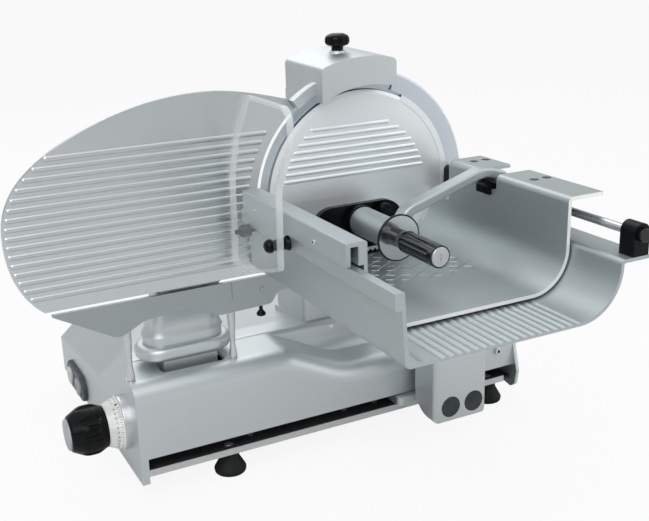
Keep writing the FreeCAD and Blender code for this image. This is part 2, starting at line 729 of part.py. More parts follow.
def guard_knob():
    y = GUARD_FRONT + GUARD_THICK / 2.0
    top = -162.5
    profile = [(0.0, 0.6), (3.0, 0.6), (3.0, -6.0, 3.0), (7.5, -12.0, 1.5), (7.0, -15.5, 1.5), (0.0, -15.5)]
    return turned(profile, V(-180.0, y, top), AXIS_Z)


# ------------------------------------------------------------------ column and drive
def column_loop(inset):
    half = COLUMN_HALF - inset
    return [(-half, BASE_TOP), (half, BASE_TOP), (half, half, half * 0.999), (-half, half, half * 0.999)]


def pedestal():
    column = prism_y(column_loop(0.0), COLUMN_FRONT, COLUMN_BACK)
    grow = PLINTH_GROW
    plinth = prism_z([(-COLUMN_HALF - grow, COLUMN_FRONT - grow, 8), (COLUMN_HALF + grow, COLUMN_FRONT - grow, 8),
                      (COLUMN_HALF + grow, COLUMN_BACK, 4), (-COLUMN_HALF - grow, COLUMN_BACK, 4)],
                     BASE_TOP, BASE_TOP + PLINTH_HIGH)
    edge = edges_where(plinth, lambda b: near(b.ZMin, BASE_TOP + PLINTH_HIGH) and near(b.ZMax, BASE_TOP + PLINTH_HIGH))
    plinth = plinth.makeChamfer(grow - 0.5, edge)
    boss = bar_y(BOSS_R, RING_DEPTH, COLUMN_FRONT + 1.0, 0.0, 0.0)
    rim = edges_where(column, lambda b: near(b.YMin, COLUMN_FRONT) and near(b.YMax, COLUMN_FRONT)
                      and b.ZMax > BASE_TOP + 5.0)
    column = column.makeFillet(8.0, rim)
    body = column.fuse([plinth, boss])
    hollow = prism_y(column_loop(COLUMN_WALL), COLUMN_FRONT + COLUMN_WALL, COLUMN_BACK + 1.0)
    body = body.cut(hollow)
    bore = bar_y(BEARING_R, RING_DEPTH + 6.0, COLUMN_FRONT + COLUMN_WALL + 1.0, 0.0, 0.0)
    mouth = bar_y(SPINDLE_R + 4.0, RING_DEPTH - 1.0, RING_DEPTH + 7.0, 0.0, 0.0)
    body = body.cut(bore).cut(mouth)
    # the base falls gently to the rear, and the column's foot follows it
    under = housing_form(0.0, SKIRT)
    skirt = prism_y([(-COLUMN_HALF - grow, BASE_TOP - 12.0), (COLUMN_HALF + grow, BASE_TOP - 12.0),
                     (COLUMN_HALF + grow, BASE_TOP), (-COLUMN_HALF - grow, BASE_TOP)],
                    COLUMN_FRONT + COLUMN_WALL, COLUMN_BACK)
    inner = box(-COLUMN_HALF + COLUMN_WALL, COLUMN_HALF - COLUMN_WALL, COLUMN_FRONT, COLUMN_BACK - COLUMN_WALL,
                BASE_TOP - 13.0, BASE_TOP + 1.0)
    return body.fuse(skirt.cut(inner).cut(under)).removeSplitter()


def rear_cover():
    half = COLUMN_HALF - 2.0
    plate = prism_y([(-half, BASE_TOP + 14.0, 4), (half, BASE_TOP + 14.0, 4),
                     (half, half, half * 0.99), (-half, half, half * 0.99)], COLUMN_BACK, COLUMN_BACK + 3.0)
    edge = edges_where(plate, lambda b: near(b.YMin, COLUMN_BACK + 3.0) and near(b.YMax, COLUMN_BACK + 3.0))
    return plate.makeChamfer(1.0, edge)


def cover_screws():
    heads = []
    for x, z in ((-55.0, -215.0), (55.0, -215.0), (-55.0, -70.0), (55.0, -70.0), (0.0, 55.0)):
        heads.append(turned([(0.0, 0.0), (5.0, 0.0), (5.0, 3.0, 1.2), (0.0, 3.0)],
                            V(x, COLUMN_BACK + 3.0, z), AXIS_Y))
    angle = math.radians(58.0)
    middle = (RING_IN + RING_OUT) / 2.0 + 5.0
    heads.append(turned([(0.0, 0.0), (3.5, 0.0), (3.5, -1.0, 0.4), (0.0, -1.0)],
                        V(middle * math.cos(angle), RING_FRONT, middle * math.sin(angle)), AXIS_Y))
    return group(heads)


BEARINGS_Y = (RING_DEPTH + 8.0, COLUMN_FRONT - BEARING_W + 2.0)


def spindle_bearings():
    rings = []
    for y in BEARINGS_Y:
        ring = turned([(SPINDLE_R + 0.05, 0.0), (BEARING_R, 0.0, 1.0), (BEARING_R, BEARING_W, 1.0),
                       (SPINDLE_R + 0.05, BEARING_W)], V(0, y, 0), AXIS_Y)
        rings.append(ring)
    return group(rings)


def bolt_places():
    return [(BOLT_CIRCLE_R * math.cos(a), BOLT_CIRCLE_R * math.sin(a))
            for a in [math.radians(45 + 90 * i) for i in range(4)]]


def blade_spindle():
    seat = BLADE_DISH_Y + BLADE_PLATE
    spindle = turned([(0.0, 0.0), (SPINDLE_R, 0.0, 0.8), (SPINDLE_R, seat), (HUB_R, seat),
                      (HUB_R, HUB_BACK, 1.5), (SPINDLE_R, HUB_BACK), (SPINDLE_R, 140.0), (0.0, 140.0)],
                     V(0, seat - BLADE_PLATE - 1.5, 0).multiply(0.0), AXIS_Y)
    spindle = spindle.cut(box(-60, 60, -1.0, seat - BLADE_PLATE - 1.5, -60, 60))
    for x, z in bolt_places():
        spindle = spindle.cut(bar_y(3.0, 0.0, HUB_BACK + 1.0, x, z))
    return spindle


def blade():
    """Dished disc with a bevel ground on its back."""
    front = BLADE_DISH_Y
    back = BLADE_DISH_Y + BLADE_PLATE
    dish = BLADE_R - 50.0
    profile = [(SPINDLE_R, front), (dish, front, 20.0), (BLADE_R - 17.0, 3.6, 30.0), (BLADE_R, BLADE_EDGE_Y),
               (BLADE_R, BLADE_EDGE_Y + 0.25), (BLADE_R - 13.0, 6.3, 3.0), (dish, back, 20.0), (SPINDLE_R, back)]
    disc = turned(profile, V(0, 0, 0), AXIS_Y)
    for x, z in bolt_places():
        disc = disc.cut(bar_y(3.0, 0.0, back + 1.0, x, z))
    return disc


def blade_bolts():
    bolts = []
    for x, z in bolt_places():
        head = turned([(0.0, 0.0), (5.2, 0.0), (5.2, -3.2, 1.2), (0.0, -3.2)], V(x, BLADE_DISH_Y, z), AXIS_Y)
        bolts.append(head.fuse(bar_y(3.0, BLADE_DISH_Y - 0.1, HUB_BACK - 1.0, x, z)))
    return group(bolts)


def pulley(radius, bore, y, x, z):
    rim = [(bore, 0.0), (radius + 5.0, 0.0, 1.0), (radius + 5.0, 2.5, 0.5), (radius, 3.2), (radius, PULLEY_W - 3.2),
           (radius + 5.0, PULLEY_W - 2.5, 0.5), (radius + 5.0, PULLEY_W, 1.0), (bore, PULLEY_W)]
    return turned(rim, V(x, y, z), AXIS_Y)


def blade_pulley():
    wheel = pulley(BLADE_PULLEY_R - 5.0, SPINDLE_R, PULLEY_Y, 0.0, 0.0)
    for i in range(5):
        angle = math.radians(72 * i)
        wheel = wheel.cut(bar_y(8.0, PULLEY_Y - 1.0, PULLEY_Y + PULLEY_W + 1.0,
                                28.0 * math.cos(angle), 28.0 * math.sin(angle)))
    return wheel


def belt_face(grow, y):
    """Area inside a belt line round both pulleys."""
    big = BLADE_PULLEY_R - 5.0 + grow
    small = MOTOR_PULLEY_R - 5.0 + grow
    span = -MOTOR_Z
    lean = math.asin((big - small) / span)
    a = V(big * math.cos(lean), y, -big * math.sin(lean))
    b = V(small * math.cos(lean), y, MOTOR_Z - small * math.sin(lean))
    c = V(-b.x, y, b.z)
    d = V(-a.x, y, a.z)
    return Part.Face(Part.Wire([Part.makeLine(a, b),
                                Part.Arc(b, V(0, y, MOTOR_Z - small), c).toShape(),
                                Part.makeLine(c, d),
                                Part.Arc(d, V(0, y, big), a).toShape()]))


def drive_belt():
    y = PULLEY_Y + 4.0
    wide = V(0, PULLEY_W - 8.0, 0)
    return belt_face(GAP + BELT, y).extrude(wide).cut(belt_face(GAP, y).extrude(wide))


def motor():
    body = turned([(MOTOR_SHAFT_R + RUN, 0.0), (30.0, 0.0, 2.0), (30.0, 6.0, 2.0), (MOTOR_R, 6.0, 6.0),
                   (MOTOR_R, MOTOR_BACK - MOTOR_FRONT, 8.0), (0.0, MOTOR_BACK - MOTOR_FRONT),
                   (0.0, 30.0), (MOTOR_SHAFT_R + RUN, 30.0)], V(0, MOTOR_FRONT, MOTOR_Z), AXIS_Y)
    saddle = box(-38.0, 38.0, MOTOR_FRONT + 30.0, MOTOR_BACK - 30.0, RIM_BOTTOM + PLATE, MOTOR_Z - 20.0)
    return body.fuse(saddle)


def motor_pulley():
    wheel = pulley(MOTOR_PULLEY_R - 5.0, MOTOR_SHAFT_R, PULLEY_Y, 0.0, MOTOR_Z)
    shaft = bar_y(MOTOR_SHAFT_R, PULLEY_Y - 6.0, MOTOR_FRONT + 29.0, 0.0, MOTOR_Z)
    return wheel.fuse(shaft)


# ------------------------------------------------------------- guard ring and cover
def polar(radius, degrees):
    return radius * math.cos(math.radians(degrees)), radius * math.sin(math.radians(degrees))


def ring_guard():
    """Rim over the idle part of the blade, with three arms to the bearing boss."""
    profile = [(RING_IN, RING_FRONT), (RING_OUT, RING_FRONT, 3.0), (RING_OUT, RING_DEPTH),
               (RING_OUT - RING_WALL, RING_DEPTH), (RING_OUT - RING_WALL, RING_FRONT + RING_LIP),
               (RING_IN, RING_FRONT + RING_LIP)]
    rim = turned(profile, V(0, 0, 0), AXIS_Y, RING_SWEEP)
    rim.rotate(V(0, 0, 0), AXIS_Y, 90.0 - RING_START)
    web0 = HUB_BACK + 0.5
    hub = turned([(HUB_R + 4.0, web0), (BOSS_R, web0), (BOSS_R, RING_DEPTH), (HUB_R + 4.0, RING_DEPTH)],
                 V(0, 0, 0), AXIS_Y)
    arms = []
    for angle in (56.0, -25.0, -106.0):
        arm = box(HUB_R + 8.0, RING_OUT - 3.0, web0, RING_DEPTH, -16.0, 16.0)
        arm.rotate(V(0, 0, 0), AXIS_Y, -angle)
        arms.append(arm)
    return rim.fuse([hub] + arms)


def blade_cover():
    """Ribbed disc over the blade, stepped at mid height, joined to the ring on its right."""
    front = RING_FRONT
    back = RING_FRONT + COVER_THICK
    inner = COVER_R - COVER_BEVEL
    disc = turned([(0.0, front), (inner, front), (COVER_R, front + 1.6), (COVER_R, back - 0.6),
                   (inner - 4.0, back), (0.0, back)], V(0, 0, 0), AXIS_Y)
    right = turned([(inner - 12.0, front), (RING_IN, front), (RING_IN, front + RING_LIP),
                    (inner - 12.0, front + RING_LIP)], V(0, 0, 0), AXIS_Y, 128.0)
    right.rotate(V(0, 0, 0), AXIS_Y, 28.0)
    cover = disc.fuse(right)
    # shallow arc groove beside the ring, and the recess below the ledge
    groove = turned([(BEAD_R, -1.2), (BEAD_R + 3.0, -1.2), (BEAD_R + 3.0, 1.0), (BEAD_R, 1.0)],
                    V(0, front, 0), AXIS_Y, 88.0)
    groove.rotate(V(0, 0, 0), AXIS_Y, 10.0)
    cover = cover.cut(groove)
    recess = prism_x([(front - 1.0, LEDGE_TOP), (front, LEDGE_TOP), (front + 1.0, LEDGE_TOP - LEDGE_DROP),
                      (front + 1.0, -RING_OUT), (front - 1.0, -RING_OUT)], -RING_OUT, RING_OUT)
    cover = cover.cut(recess)
    ribs = []
    for i in range(RIB_COUNT):
        z = RIB_TOP - i * RIB_PITCH
        x0 = -math.sqrt(RIB_LEFT_R ** 2 - z ** 2)
        x1 = math.sqrt(RIB_RIGHT_R ** 2 - z ** 2)
        rib = raised_rib(x0, x1, front + RIB_R - RIB_PROUD, z, RIB_R)
        ribs.append(rib.common(box(-RING_OUT, RING_OUT, front - 2.0, back, -RING_OUT, RING_OUT)))
    return cover.fuse(ribs)


# ------------------------------------------------------------------------- sharpener
def sector(r_in, r_out, y0, y1, x0, x1):
    ring = bar_y(r_out, y0, y1, 0, 0).cut(bar_y(r_in, y0 - 1, y1 + 1, 0, 0))
    return ring.common(box(x0, x1, y0, y1, 100.0, r_out + 1.0))


def sharpener_form(inset):
    """Block with a crowned top that rises to the rear, drawn in by inset all round."""
    def section(y, crown):
        left = V(SHARP_LEFT + inset, y, SHARP_OUT + crown[0] - inset)
        middle = V(SHARP_CROWN_X, y, SHARP_OUT + crown[1] - inset)
        right = V(SHARP_RIGHT - inset, y, SHARP_OUT + crown[2] - inset)
        low_left = V(left.x, y, SHARP_IN * 0.6)
        low_right = V(right.x, y, SHARP_IN * 0.6)
        return Part.Wire([Part.makeLine(low_left, left), Part.Arc(left, middle, right).toShape(),
                          Part.makeLine(right, low_right), Part.makeLine(low_right, low_left)])
    return Part.makeLoft([section(SHARP_FRONT + inset, SHARP_CROWN_FRONT),
                          section(SHARP_BACK - inset, SHARP_CROWN_REAR)], True, True)


def sharpener_housing():
    body = sharpener_form(0.0)
    corner = edges_where(body, lambda b: b.YMax - b.YMin > 50 and b.ZMin > SHARP_IN)
    body = body.makeFillet(9.0, corner)
    rear_top = edges_where(body, lambda b: near(b.YMin, SHARP_BACK) and near(b.YMax, SHARP_BACK)
                           and b.ZMin > SHARP_IN)
    body = body.makeFillet(8.0, rear_top)
    wall = SHARP_WALL
    body = body.cut(bar_y(SHARP_IN, SHARP_FRONT - 1.0, SHARP_BACK + 1.0, 0, 0))
    skirt = sector(SHARP_IN - 27.0, SHARP_IN + 7.0, 20.0, SHARP_BACK - 4.0, SHARP_LEFT, SHARP_RIGHT)
    body = body.fuse(skirt).cut(sharpener_form(wall))
    boss = turned([(0.0, -4.0), (17.0, -4.0), (11.0, 5.0, 2.0), (0.0, 5.0)],
                  V(SHARP_KNOB_X, SHARP_KNOB_Y, SHARP_OUT - 1.0), AXIS_Z)
    body = body.fuse(boss)
    body = body.cut(bar_z(5.0 + RUN, SHARP_OUT - 20, SHARP_OUT + 10, SHARP_KNOB_X, SHARP_KNOB_Y))
    front_x, front_z = polar(STONE_ORBIT, FRONT_STONE_AT)
    rear_x, rear_z = polar(STONE_ORBIT, REAR_STONE_AT)
    pins = [bar_y(4.0, SHARP_FRONT + wall - 1.0, -9.0, front_x, front_z),
            bar_y(4.0, 14.0, SHARP_BACK - wall + 1.0, rear_x, rear_z)]
    finger_in = BLADE_R + 3.5
    finger = turned([(finger_in, -15.0, 2.0), (finger_in + 18.5, -15.0, 2.0), (finger_in + 18.5, -1.2, 2.0),
                     (finger_in, -1.2, 2.0)], V(0, 0, 0), AXIS_Y, 24.0)
    finger.rotate(V(0, 0, 0), AXIS_Y, -38.0)
    finger = finger.cut(box(SHARP_LEFT + 1.0, 0.0, -50.0, 50.0, 100.0, SHARP_OUT + 20.0))
    blade_way = bar_y(BLADE_R + 2.5, -4.0, 16.0, 0.0, 0.0)
    return body.fuse(pins + [finger]).cut(blade_way)


def sharpener_bracket():
    block = box(BRACKET_LEFT, BRACKET_RIGHT, BRACKET_FRONT, COLUMN_FRONT, BRACKET_FOOT, SHARP_OUT + SHARP_WALL)
    post = box(BRACKET_LEFT, BRACKET_RIGHT, BRACKET_FRONT, COLUMN_FRONT, BRACKET_FOOT, SHARP_IN)
    return block.common(sharpener_form(SHARP_WALL)).fuse(post).cut(
        bar_y(BOSS_R, 0.0, COLUMN_BACK, 0.0, 0.0))


def sharpener_knob():
    profile = [(0.0, -22.0), (5.0, -22.0), (5.0, 0.3), (9.0, 0.3), (9.0, 5.0, 3.0), (SHARP_KNOB_R, 9.0, 6.0),
               (SHARP_KNOB_R, 21.0, 8.0), (10.0, 25.0, 6.0), (0.0, 25.0)]
    knob = turned(profile, V(SHARP_KNOB_X, SHARP_KNOB_Y, SHARP_OUT + 4.0), AXIS_Z)
    for i in range(10):
        angle = math.radians(36 * i)
        knob = knob.cut(bar_z(3.0, SHARP_OUT + 14.0, SHARP_OUT + 26.0,
                              SHARP_KNOB_X + (SHARP_KNOB_R + 1.2) * math.cos(angle),
                              SHARP_KNOB_Y + (SHARP_KNOB_R + 1.2) * math.sin(angle)))
    return knob


def stone(degrees, y0, y1):
    x, z = polar(STONE_ORBIT, degrees)
    return turned([(4.0 + RUN, 0.0), (STONE_R, 0.0, 1.5), (STONE_R, y1 - y0, 1.5), (4.0 + RUN, y1 - y0)],
                  V(x, y0, z), AXIS_Y)


# ---------------------------------------------------------------- carriage, lower tray
def tray_path():
    """Middle line of the lower tray's section: wall, floor, bend and flange."""
    half = SHEET / 2.0
    wall_top = HOOK_OUT + HOOK_WIDE - half
    side = BEND_X + BEND_R - half
    return [(wall_top, HOOK_TOP - half), (wall_top + WALL_LEAN, TRAY_UNDER + half, 6.0),
            (side, TRAY_UNDER + half, BEND_R - half), (side, FLANGE_TOP - half, 5.0),
            (FLANGE_OUT, FLANGE_TOP - half)]


def flute_places():
    """X of the grooves along the flat floor, from the bend towards the left wall."""
    count = int((BEND_X - FLUTE_FROM) / FLUTE_PITCH)
    return [BEND_X - 0.5 * FLUTE_PITCH - i * FLUTE_PITCH for i in range(count)]


def lower_tray():
    tray = prism_y(ribbon(tray_path(), SHEET), TRAY_FRONT, TRAY_BACK)
    hem = prism_y([(HOOK_OUT, HOOK_TOP - HOOK_DEEP, 1.5), (HOOK_OUT + HOOK_WIDE, HOOK_TOP - HOOK_DEEP),
                   (HOOK_OUT + HOOK_WIDE, HOOK_TOP, 1.5), (HOOK_OUT, HOOK_TOP, 1.5)], TRAY_FRONT, TRAY_BACK)
    # the hollow where the left wall meets the floor
    floor = TRAY_UNDER + SHEET
    cove_z = floor + COVE_R
    lean = (TRAY_UNDER + SHEET / 2.0 - cove_z) / (TRAY_UNDER - HOOK_TOP + SHEET)
    wall_x = HOOK_OUT + HOOK_WIDE + WALL_LEAN * (1.0 - lean)
    cove = box(wall_x - 1.5, wall_x + COVE_R, TRAY_FRONT, TRAY_BACK, floor - 1.5, cove_z)
    cove = cove.cut(bar_y(COVE_R, TRAY_FRONT - 1.0, TRAY_BACK + 1.0, wall_x + COVE_R, cove_z))
    groove_z = floor + FLUTE_R - FLUTE_DEEP
    flutes = [bar_y(FLUTE_R, TRAY_FRONT - 1.0, TRAY_BACK + 1.0, x, groove_z) for x in flute_places()]
    return tray.fuse([hem, cove]).cut(flutes).removeSplitter()


def carriage_stem():
    """Hollow-looking post in front of the base, with the plate that carries the tray."""
    post = prism_x([(STEM_FRONT, RIM_BOTTOM, 2.0), (STEM_BACK, RIM_BOTTOM, HEEL_ROUND),
                    (STEM_BACK, STEM_TOP), (STEM_FRONT, STEM_TOP)], STEM_LEFT, STEM_RIGHT)
    corners = edges_where(post, lambda b: b.ZMax - b.ZMin > 150 and near(b.YMin, STEM_FRONT))
    post = post.makeFillet(STEM_ROUND, corners)
    for x in PLUGS_X:
        post = post.cut(bar_y(PLUG_R, STEM_FRONT - 1.0, STEM_FRONT + 5.0, x, PLUG_Z))
    post = post.cut(box(STEM_LEFT + 14.0, STEM_RIGHT - 14.0, STEM_FRONT + 30.0, STEM_BACK + 1.0,
                        SLOT_BOTTOM + 1.5, SLOT_BOTTOM + 1.5 + ARM_HIGH))
    shelf = prism_z([(-150.0, STEM_FRONT, 6), (STEM_RIGHT - 4.0, STEM_FRONT, 6),
                     (STEM_RIGHT - 4.0, STEM_BACK, 6), (-150.0, STEM_BACK, 6)], STEM_TOP, TRAY_UNDER)
    return post.fuse(shelf)


def stem_plugs():
    return group([turned([(0.0, 5.0), (PLUG_R, 5.0), (PLUG_R, -0.6, 1.0), (0.0, -0.6)],
                         V(x, STEM_FRONT, PLUG_Z), AXIS_Y) for x in PLUGS_X])


def carriage_slider():
    """Arm that reaches through the front slot to the block that runs on the rail."""
    z0 = SLOT_BOTTOM + 1.5
    z1 = z0 + ARM_HIGH
    arm = prism_z([(ARM_LEFT, RAIL_FRONT - 11.0), (ARM_LEFT, STEM_BACK, 9.0), (STEM_LEFT + 14.0, STEM_BACK),
                   (STEM_LEFT + 14.0, STEM_FRONT + 30.0), (STEM_RIGHT - 14.0, STEM_FRONT + 30.0),
                   (STEM_RIGHT - 14.0, STEM_BACK), (ARM_RIGHT, STEM_BACK, 9.0),
                   (ARM_RIGHT, RAIL_FRONT - 11.0)], z0, z1)
    block = box(SLIDER_LEFT, SLIDER_RIGHT, RAIL_FRONT - 11.0, RAIL_FRONT + RAIL_SIDE + 12.0,
                RAIL_TOP - RAIL_SIDE - 5.5, RAIL_TOP + 11.0)
    way = box(SLIDER_LEFT - 1.0, SLIDER_RIGHT + 1.0, RAIL_FRONT - GAP, RAIL_FRONT + RAIL_SIDE + GAP,
              RAIL_TOP - RAIL_SIDE - GAP, RAIL_TOP + GAP)
    return arm.fuse(block).cut(way)


def product_rod():
    rod = bar_y(ROD_R, TRAY_FRONT - 6.0, -14.0, ROD_X, ROD_Z)
    cap = turned([(0.0, 0.0), (9.5, 0.0, 1.5), (9.5, 7.0), (0.0, 7.0)], V(ROD_X, ROD_FRONT, ROD_Z), AXIS_Y)
    return rod.fuse(cap)


def rod_blocks():
    def block(y0, y1, half, top, radius):
        body = prism_y([(ROD_X - half, FLANGE_TOP), (ROD_X + half, FLANGE_TOP),
                        (ROD_X + half, top, radius), (ROD_X - half, top, radius)], y0, y1)
        return body.cut(bar_y(ROD_R, y0 - 1.0, y1 + 1.0, ROD_X, ROD_Z))
    return group([block(TRAY_FRONT, TRAY_FRONT + 26.0, 13.0, 27.0, 12.9),
                  block(-40.0, -14.0, 12.0, 24.0, 8.0)])


def plexi_guard():
    """Clear sheet with a rim turned in towards the wall all round."""
    whole = prism_x(SHIELD_OUTLINE, SHIELD_X, SHIELD_X + SHIELD_RIM)
    inner = face_of(SHIELD_OUTLINE, at_x(SHIELD_X + SHIELD_THICK)).makeOffset2D(-SHIELD_EDGE)
    return whole.cut(inner.extrude(V(SHIELD_RIM, 0, 0)))


def guard_spacers():
    """Domed rest behind the sheet, and the screwed stand-off in front of it."""
    inner = SHIELD_X + SHIELD_THICK
    y, z = SHIELD_REST
    rest = turned([(0.0, inner), (3.5, inner), (4.0, inner + 5.0), (9.3, inner + 7.0, 6.0),
                   (9.3, HOOK_OUT), (0.0, HOOK_OUT)], V(0, y, z), AXIS_X)
    rest = rest.fuse(bar_x(3.6, HOOK_OUT - 0.5, HOOK_OUT + HOOK_WIDE - SHEET + 0.5, y, z))
    y, z = SHIELD_SCREW
    head = turned([(0.0, SHIELD_X - 10.0), (9.5, SHIELD_X - 10.0, 8.0), (9.5, SHIELD_X), (0.0, SHIELD_X)],
                  V(0, y, z), AXIS_X)
    barrel = turned([(0.0, inner), (7.5, inner), (8.0, HOOK_OUT - 6.0, 8.0), (10.5, HOOK_OUT - 1.0, 1.0),
                     (10.5, HOOK_OUT), (0.0, HOOK_OUT)], V(0, y, z), AXIS_X)
    return group([rest, head, barrel])


# ---------------------------------------------------------------------- product tray
def ptray_path():
    half = SHEET / 2.0
    radius = BEND_R - SHEET - TRAY_GAP - half
    floor_z = TRAY_UNDER + SHEET + TRAY_GAP + half
    side = BEND_X + radius
    return [(PTRAY_LEFT + half, RAILTOP_BOTTOM), (PTRAY_LEFT + half, floor_z, PTRAY_BEND_R),
            (side, floor_z, radius), (side, PFLANGE_TOP - half, 6.0), (PFLANGE_OUT, PFLANGE_TOP - half)]


def bush_screws():
    return [(ROD_X + side, y) for y in BUSH_CENTRES for side in (-13.0, 9.5)]


def product_tray():
    tray = prism_y(ribbon(ptray_path(), SHEET), PTRAY_FRONT, PTRAY_BACK)
    behind = box(PTRAY_LEFT + SHEET, PFLANGE_OUT + 5.0, PTRAY_FLOOR_BACK, PTRAY_BACK + 1.0, -100.0, 60.0)
    notch = box(PTRAY_LEFT + 290.0, PFLANGE_OUT + 5.0, NOTCH_FRONT, NOTCH_BACK, NOTCH_FLOOR, 60.0)
    ahead = box(PTRAY_LEFT - 1.0, PTRAY_LEFT + SHEET + 1.0, PTRAY_FRONT - 1.0, RAILTOP_FRONT,
                TRAY_UNDER + SHEET + TRAY_GAP + PTRAY_BEND_R + SHEET, RAILTOP_TOP)
    tray = tray.cut([behind, notch, ahead])
    for x, y in bush_screws():
        tray = tray.cut(bar_z(7.0, PFLANGE_TOP - SHEET - 1.0, PFLANGE_TOP + 1.0, x, y))
    return tray


def top_rail():
    """Inverted channel that rides on the lower tray's hook."""
    return prism_y([(RAILTOP_LEFT, RAILTOP_BOTTOM), (RAILTOP_LEFT, RAILTOP_TOP, 3.0),
                    (RAILTOP_RIGHT, RAILTOP_TOP, 3.0), (RAILTOP_RIGHT, RAILTOP_BOTTOM),
                    (RAILTOP_RIGHT - 12.5, RAILTOP_BOTTOM), (RAILTOP_RIGHT - 12.5, RAILTOP_TOP - 5.5, 1.0),
                    (RAILTOP_LEFT + 6.5, RAILTOP_TOP - 5.5, 1.0), (RAILTOP_LEFT + 6.5, RAILTOP_BOTTOM)],
                   RAILTOP_FRONT, RAILTOP_BACK)


def rail_pads():
    """Runners inside the channel, and the rest that the clamp's arm lies on."""
    pads = [box(RAILTOP_LEFT + 7.5, RAILTOP_RIGHT - 13.5, y, y + PAD_LONG, HOOK_TOP + GAP, RAILTOP_TOP - 5.5)
            for y in PADS_Y]
    wall = ptray_path()[2][0]
    rest = prism_y([(wall - 9.0, NOTCH_FLOOR - 8.0, 2), (wall - SHEET / 2, NOTCH_FLOOR - 8.0),
                    (wall - SHEET / 2, NOTCH_FLOOR), (wall + 7.0, NOTCH_FLOOR),
                    (wall + 7.0, NOTCH_FLOOR + 9.0, 3), (wall - 9.0, NOTCH_FLOOR + 5.5, 3)],
                   ARM_FRONT - 4.0, ARM_BACK + 2.0)
    return group(pads + [rest])


def bushing_blocks():
    blocks = []
    for y in BUSH_CENTRES:
        body = prism_y([(ROD_X - BUSH_HALF, -4.0, 6), (ROD_X + BUSH_HALF, -4.0, 6),
                        (ROD_X + BUSH_HALF, PFLANGE_TOP - SHEET), (ROD_X - BUSH_HALF, PFLANGE_TOP - SHEET)],
                       y - BUSH_LONG / 2.0, y + BUSH_LONG / 2.0)
        blocks.append(body.cut(bar_y(ROD_R + RUN, y - 40.0, y + 40.0, ROD_X, ROD_Z)))
    return group(blocks)


def flange_screws():
    seat = PFLANGE_TOP - SHEET
    return group([turned([(0.0, 0.0), (6.8, 0.0), (6.8, 3.4, 0.8), (0.0, 3.4)], V(x, y, seat), AXIS_Z)
                  for x, y in bush_screws()])


def tooth_strip():
    floor_z = ptray_path()[1][1] + SHEET / 2.0
    left = PTRAY_LEFT + SHEET + PTRAY_BEND_R
    pitch = 8.0
    teeth = 28
    right = left + teeth * pitch
    points = [(left, floor_z)]
    for i in range(teeth):
        points += [(left + i * pitch, floor_z + 2.0), (left + (i + 0.5) * pitch, floor_z + 6.0)]
    points += [(right, floor_z + 2.0), (right, floor_z)]
    return prism_y(points, PTRAY_FLOOR_BACK - 4.0, PTRAY_FLOOR_BACK - 1.0)


# --------------------------------------------------------------------- product clamp
def clamp_arm():
    path = [(ROD_X - 1.0, ROD_Z + 6.0), (148.0, 38.0, 14.0), (115.0, 48.5, 45.0), (-18.0, 7.0, 25.0),
            (CLAMP_X + 4.0, CLAMP_Z + 8.0)]
    arm = prism_y(ribbon(path, ARM_THICK), ARM_FRONT, ARM_BACK)
    long_edges = edges_where(arm, lambda b: b.YMax - b.YMin < 0.01 and b.XMax - b.XMin > 8.0)
    arm = arm.makeFillet(4.0, long_edges)
    hub = bar_y(HUB_OUT_R, HUB_FRONT, HUB_BACK_Y, ROD_X, ROD_Z)
    barrel = turned([(0.0, CLAMP_FRONT), (CLAMP_R, CLAMP_FRONT, 1.5), (CLAMP_R, CLAMP_BACK, 2.0),
                     (0.0, CLAMP_BACK)], V(CLAMP_X, 0, CLAMP_Z), AXIS_Y)
    body = arm.fuse([hub, barrel])
    return body.cut(bar_y(HUB_BUSH_R, HUB_FRONT - 1.0, HUB_BACK_Y + 1.0, ROD_X, ROD_Z))


def clamp_bushings():
    """Sleeve in the arm's hub, and the dark collar behind the barrel."""
    sleeve = turned([(ROD_R + RUN, HUB_FRONT - 1.0), (HUB_BUSH_R, HUB_FRONT - 1.0),
                     (HUB_BUSH_R, HUB_BACK_Y + 1.0), (ROD_R + RUN, HUB_BACK_Y + 1.0)],
                    V(ROD_X, 0, ROD_Z), AXIS_Y)
    collar = turned([(0.0, CLAMP_BACK), (CLAMP_R + 1.5, CLAMP_BACK, 1.5), (CLAMP_R + 1.5, GRIPPER_FRONT),
                     (0.0, GRIPPER_FRONT)], V(CLAMP_X, 0, CLAMP_Z), AXIS_Y)
    return group([sleeve, collar])


def gripper_plate():
    loop = stadium(GRIPPER_LEFT, GRIPPER_RIGHT, GRIPPER_BOTTOM, GRIPPER_TOP, 4.0)
    plate = prism_y(loop, GRIPPER_FRONT, GRIPPER_FRONT + GRIPPER_THICK)
    back = GRIPPER_FRONT + GRIPPER_THICK
    spikes = []
    for x in spaced(GRIPPER_LEFT + 18.0, GRIPPER_RIGHT - 18.0, 7):
        for z in spaced(GRIPPER_BOTTOM + 16.0, GRIPPER_TOP - 16.0, 3):
            spikes.append(Part.makeCone(3.0, 0.6, TOOTH_LONG, V(x, back, z), AXIS_Y))
    return plate.fuse(spikes)


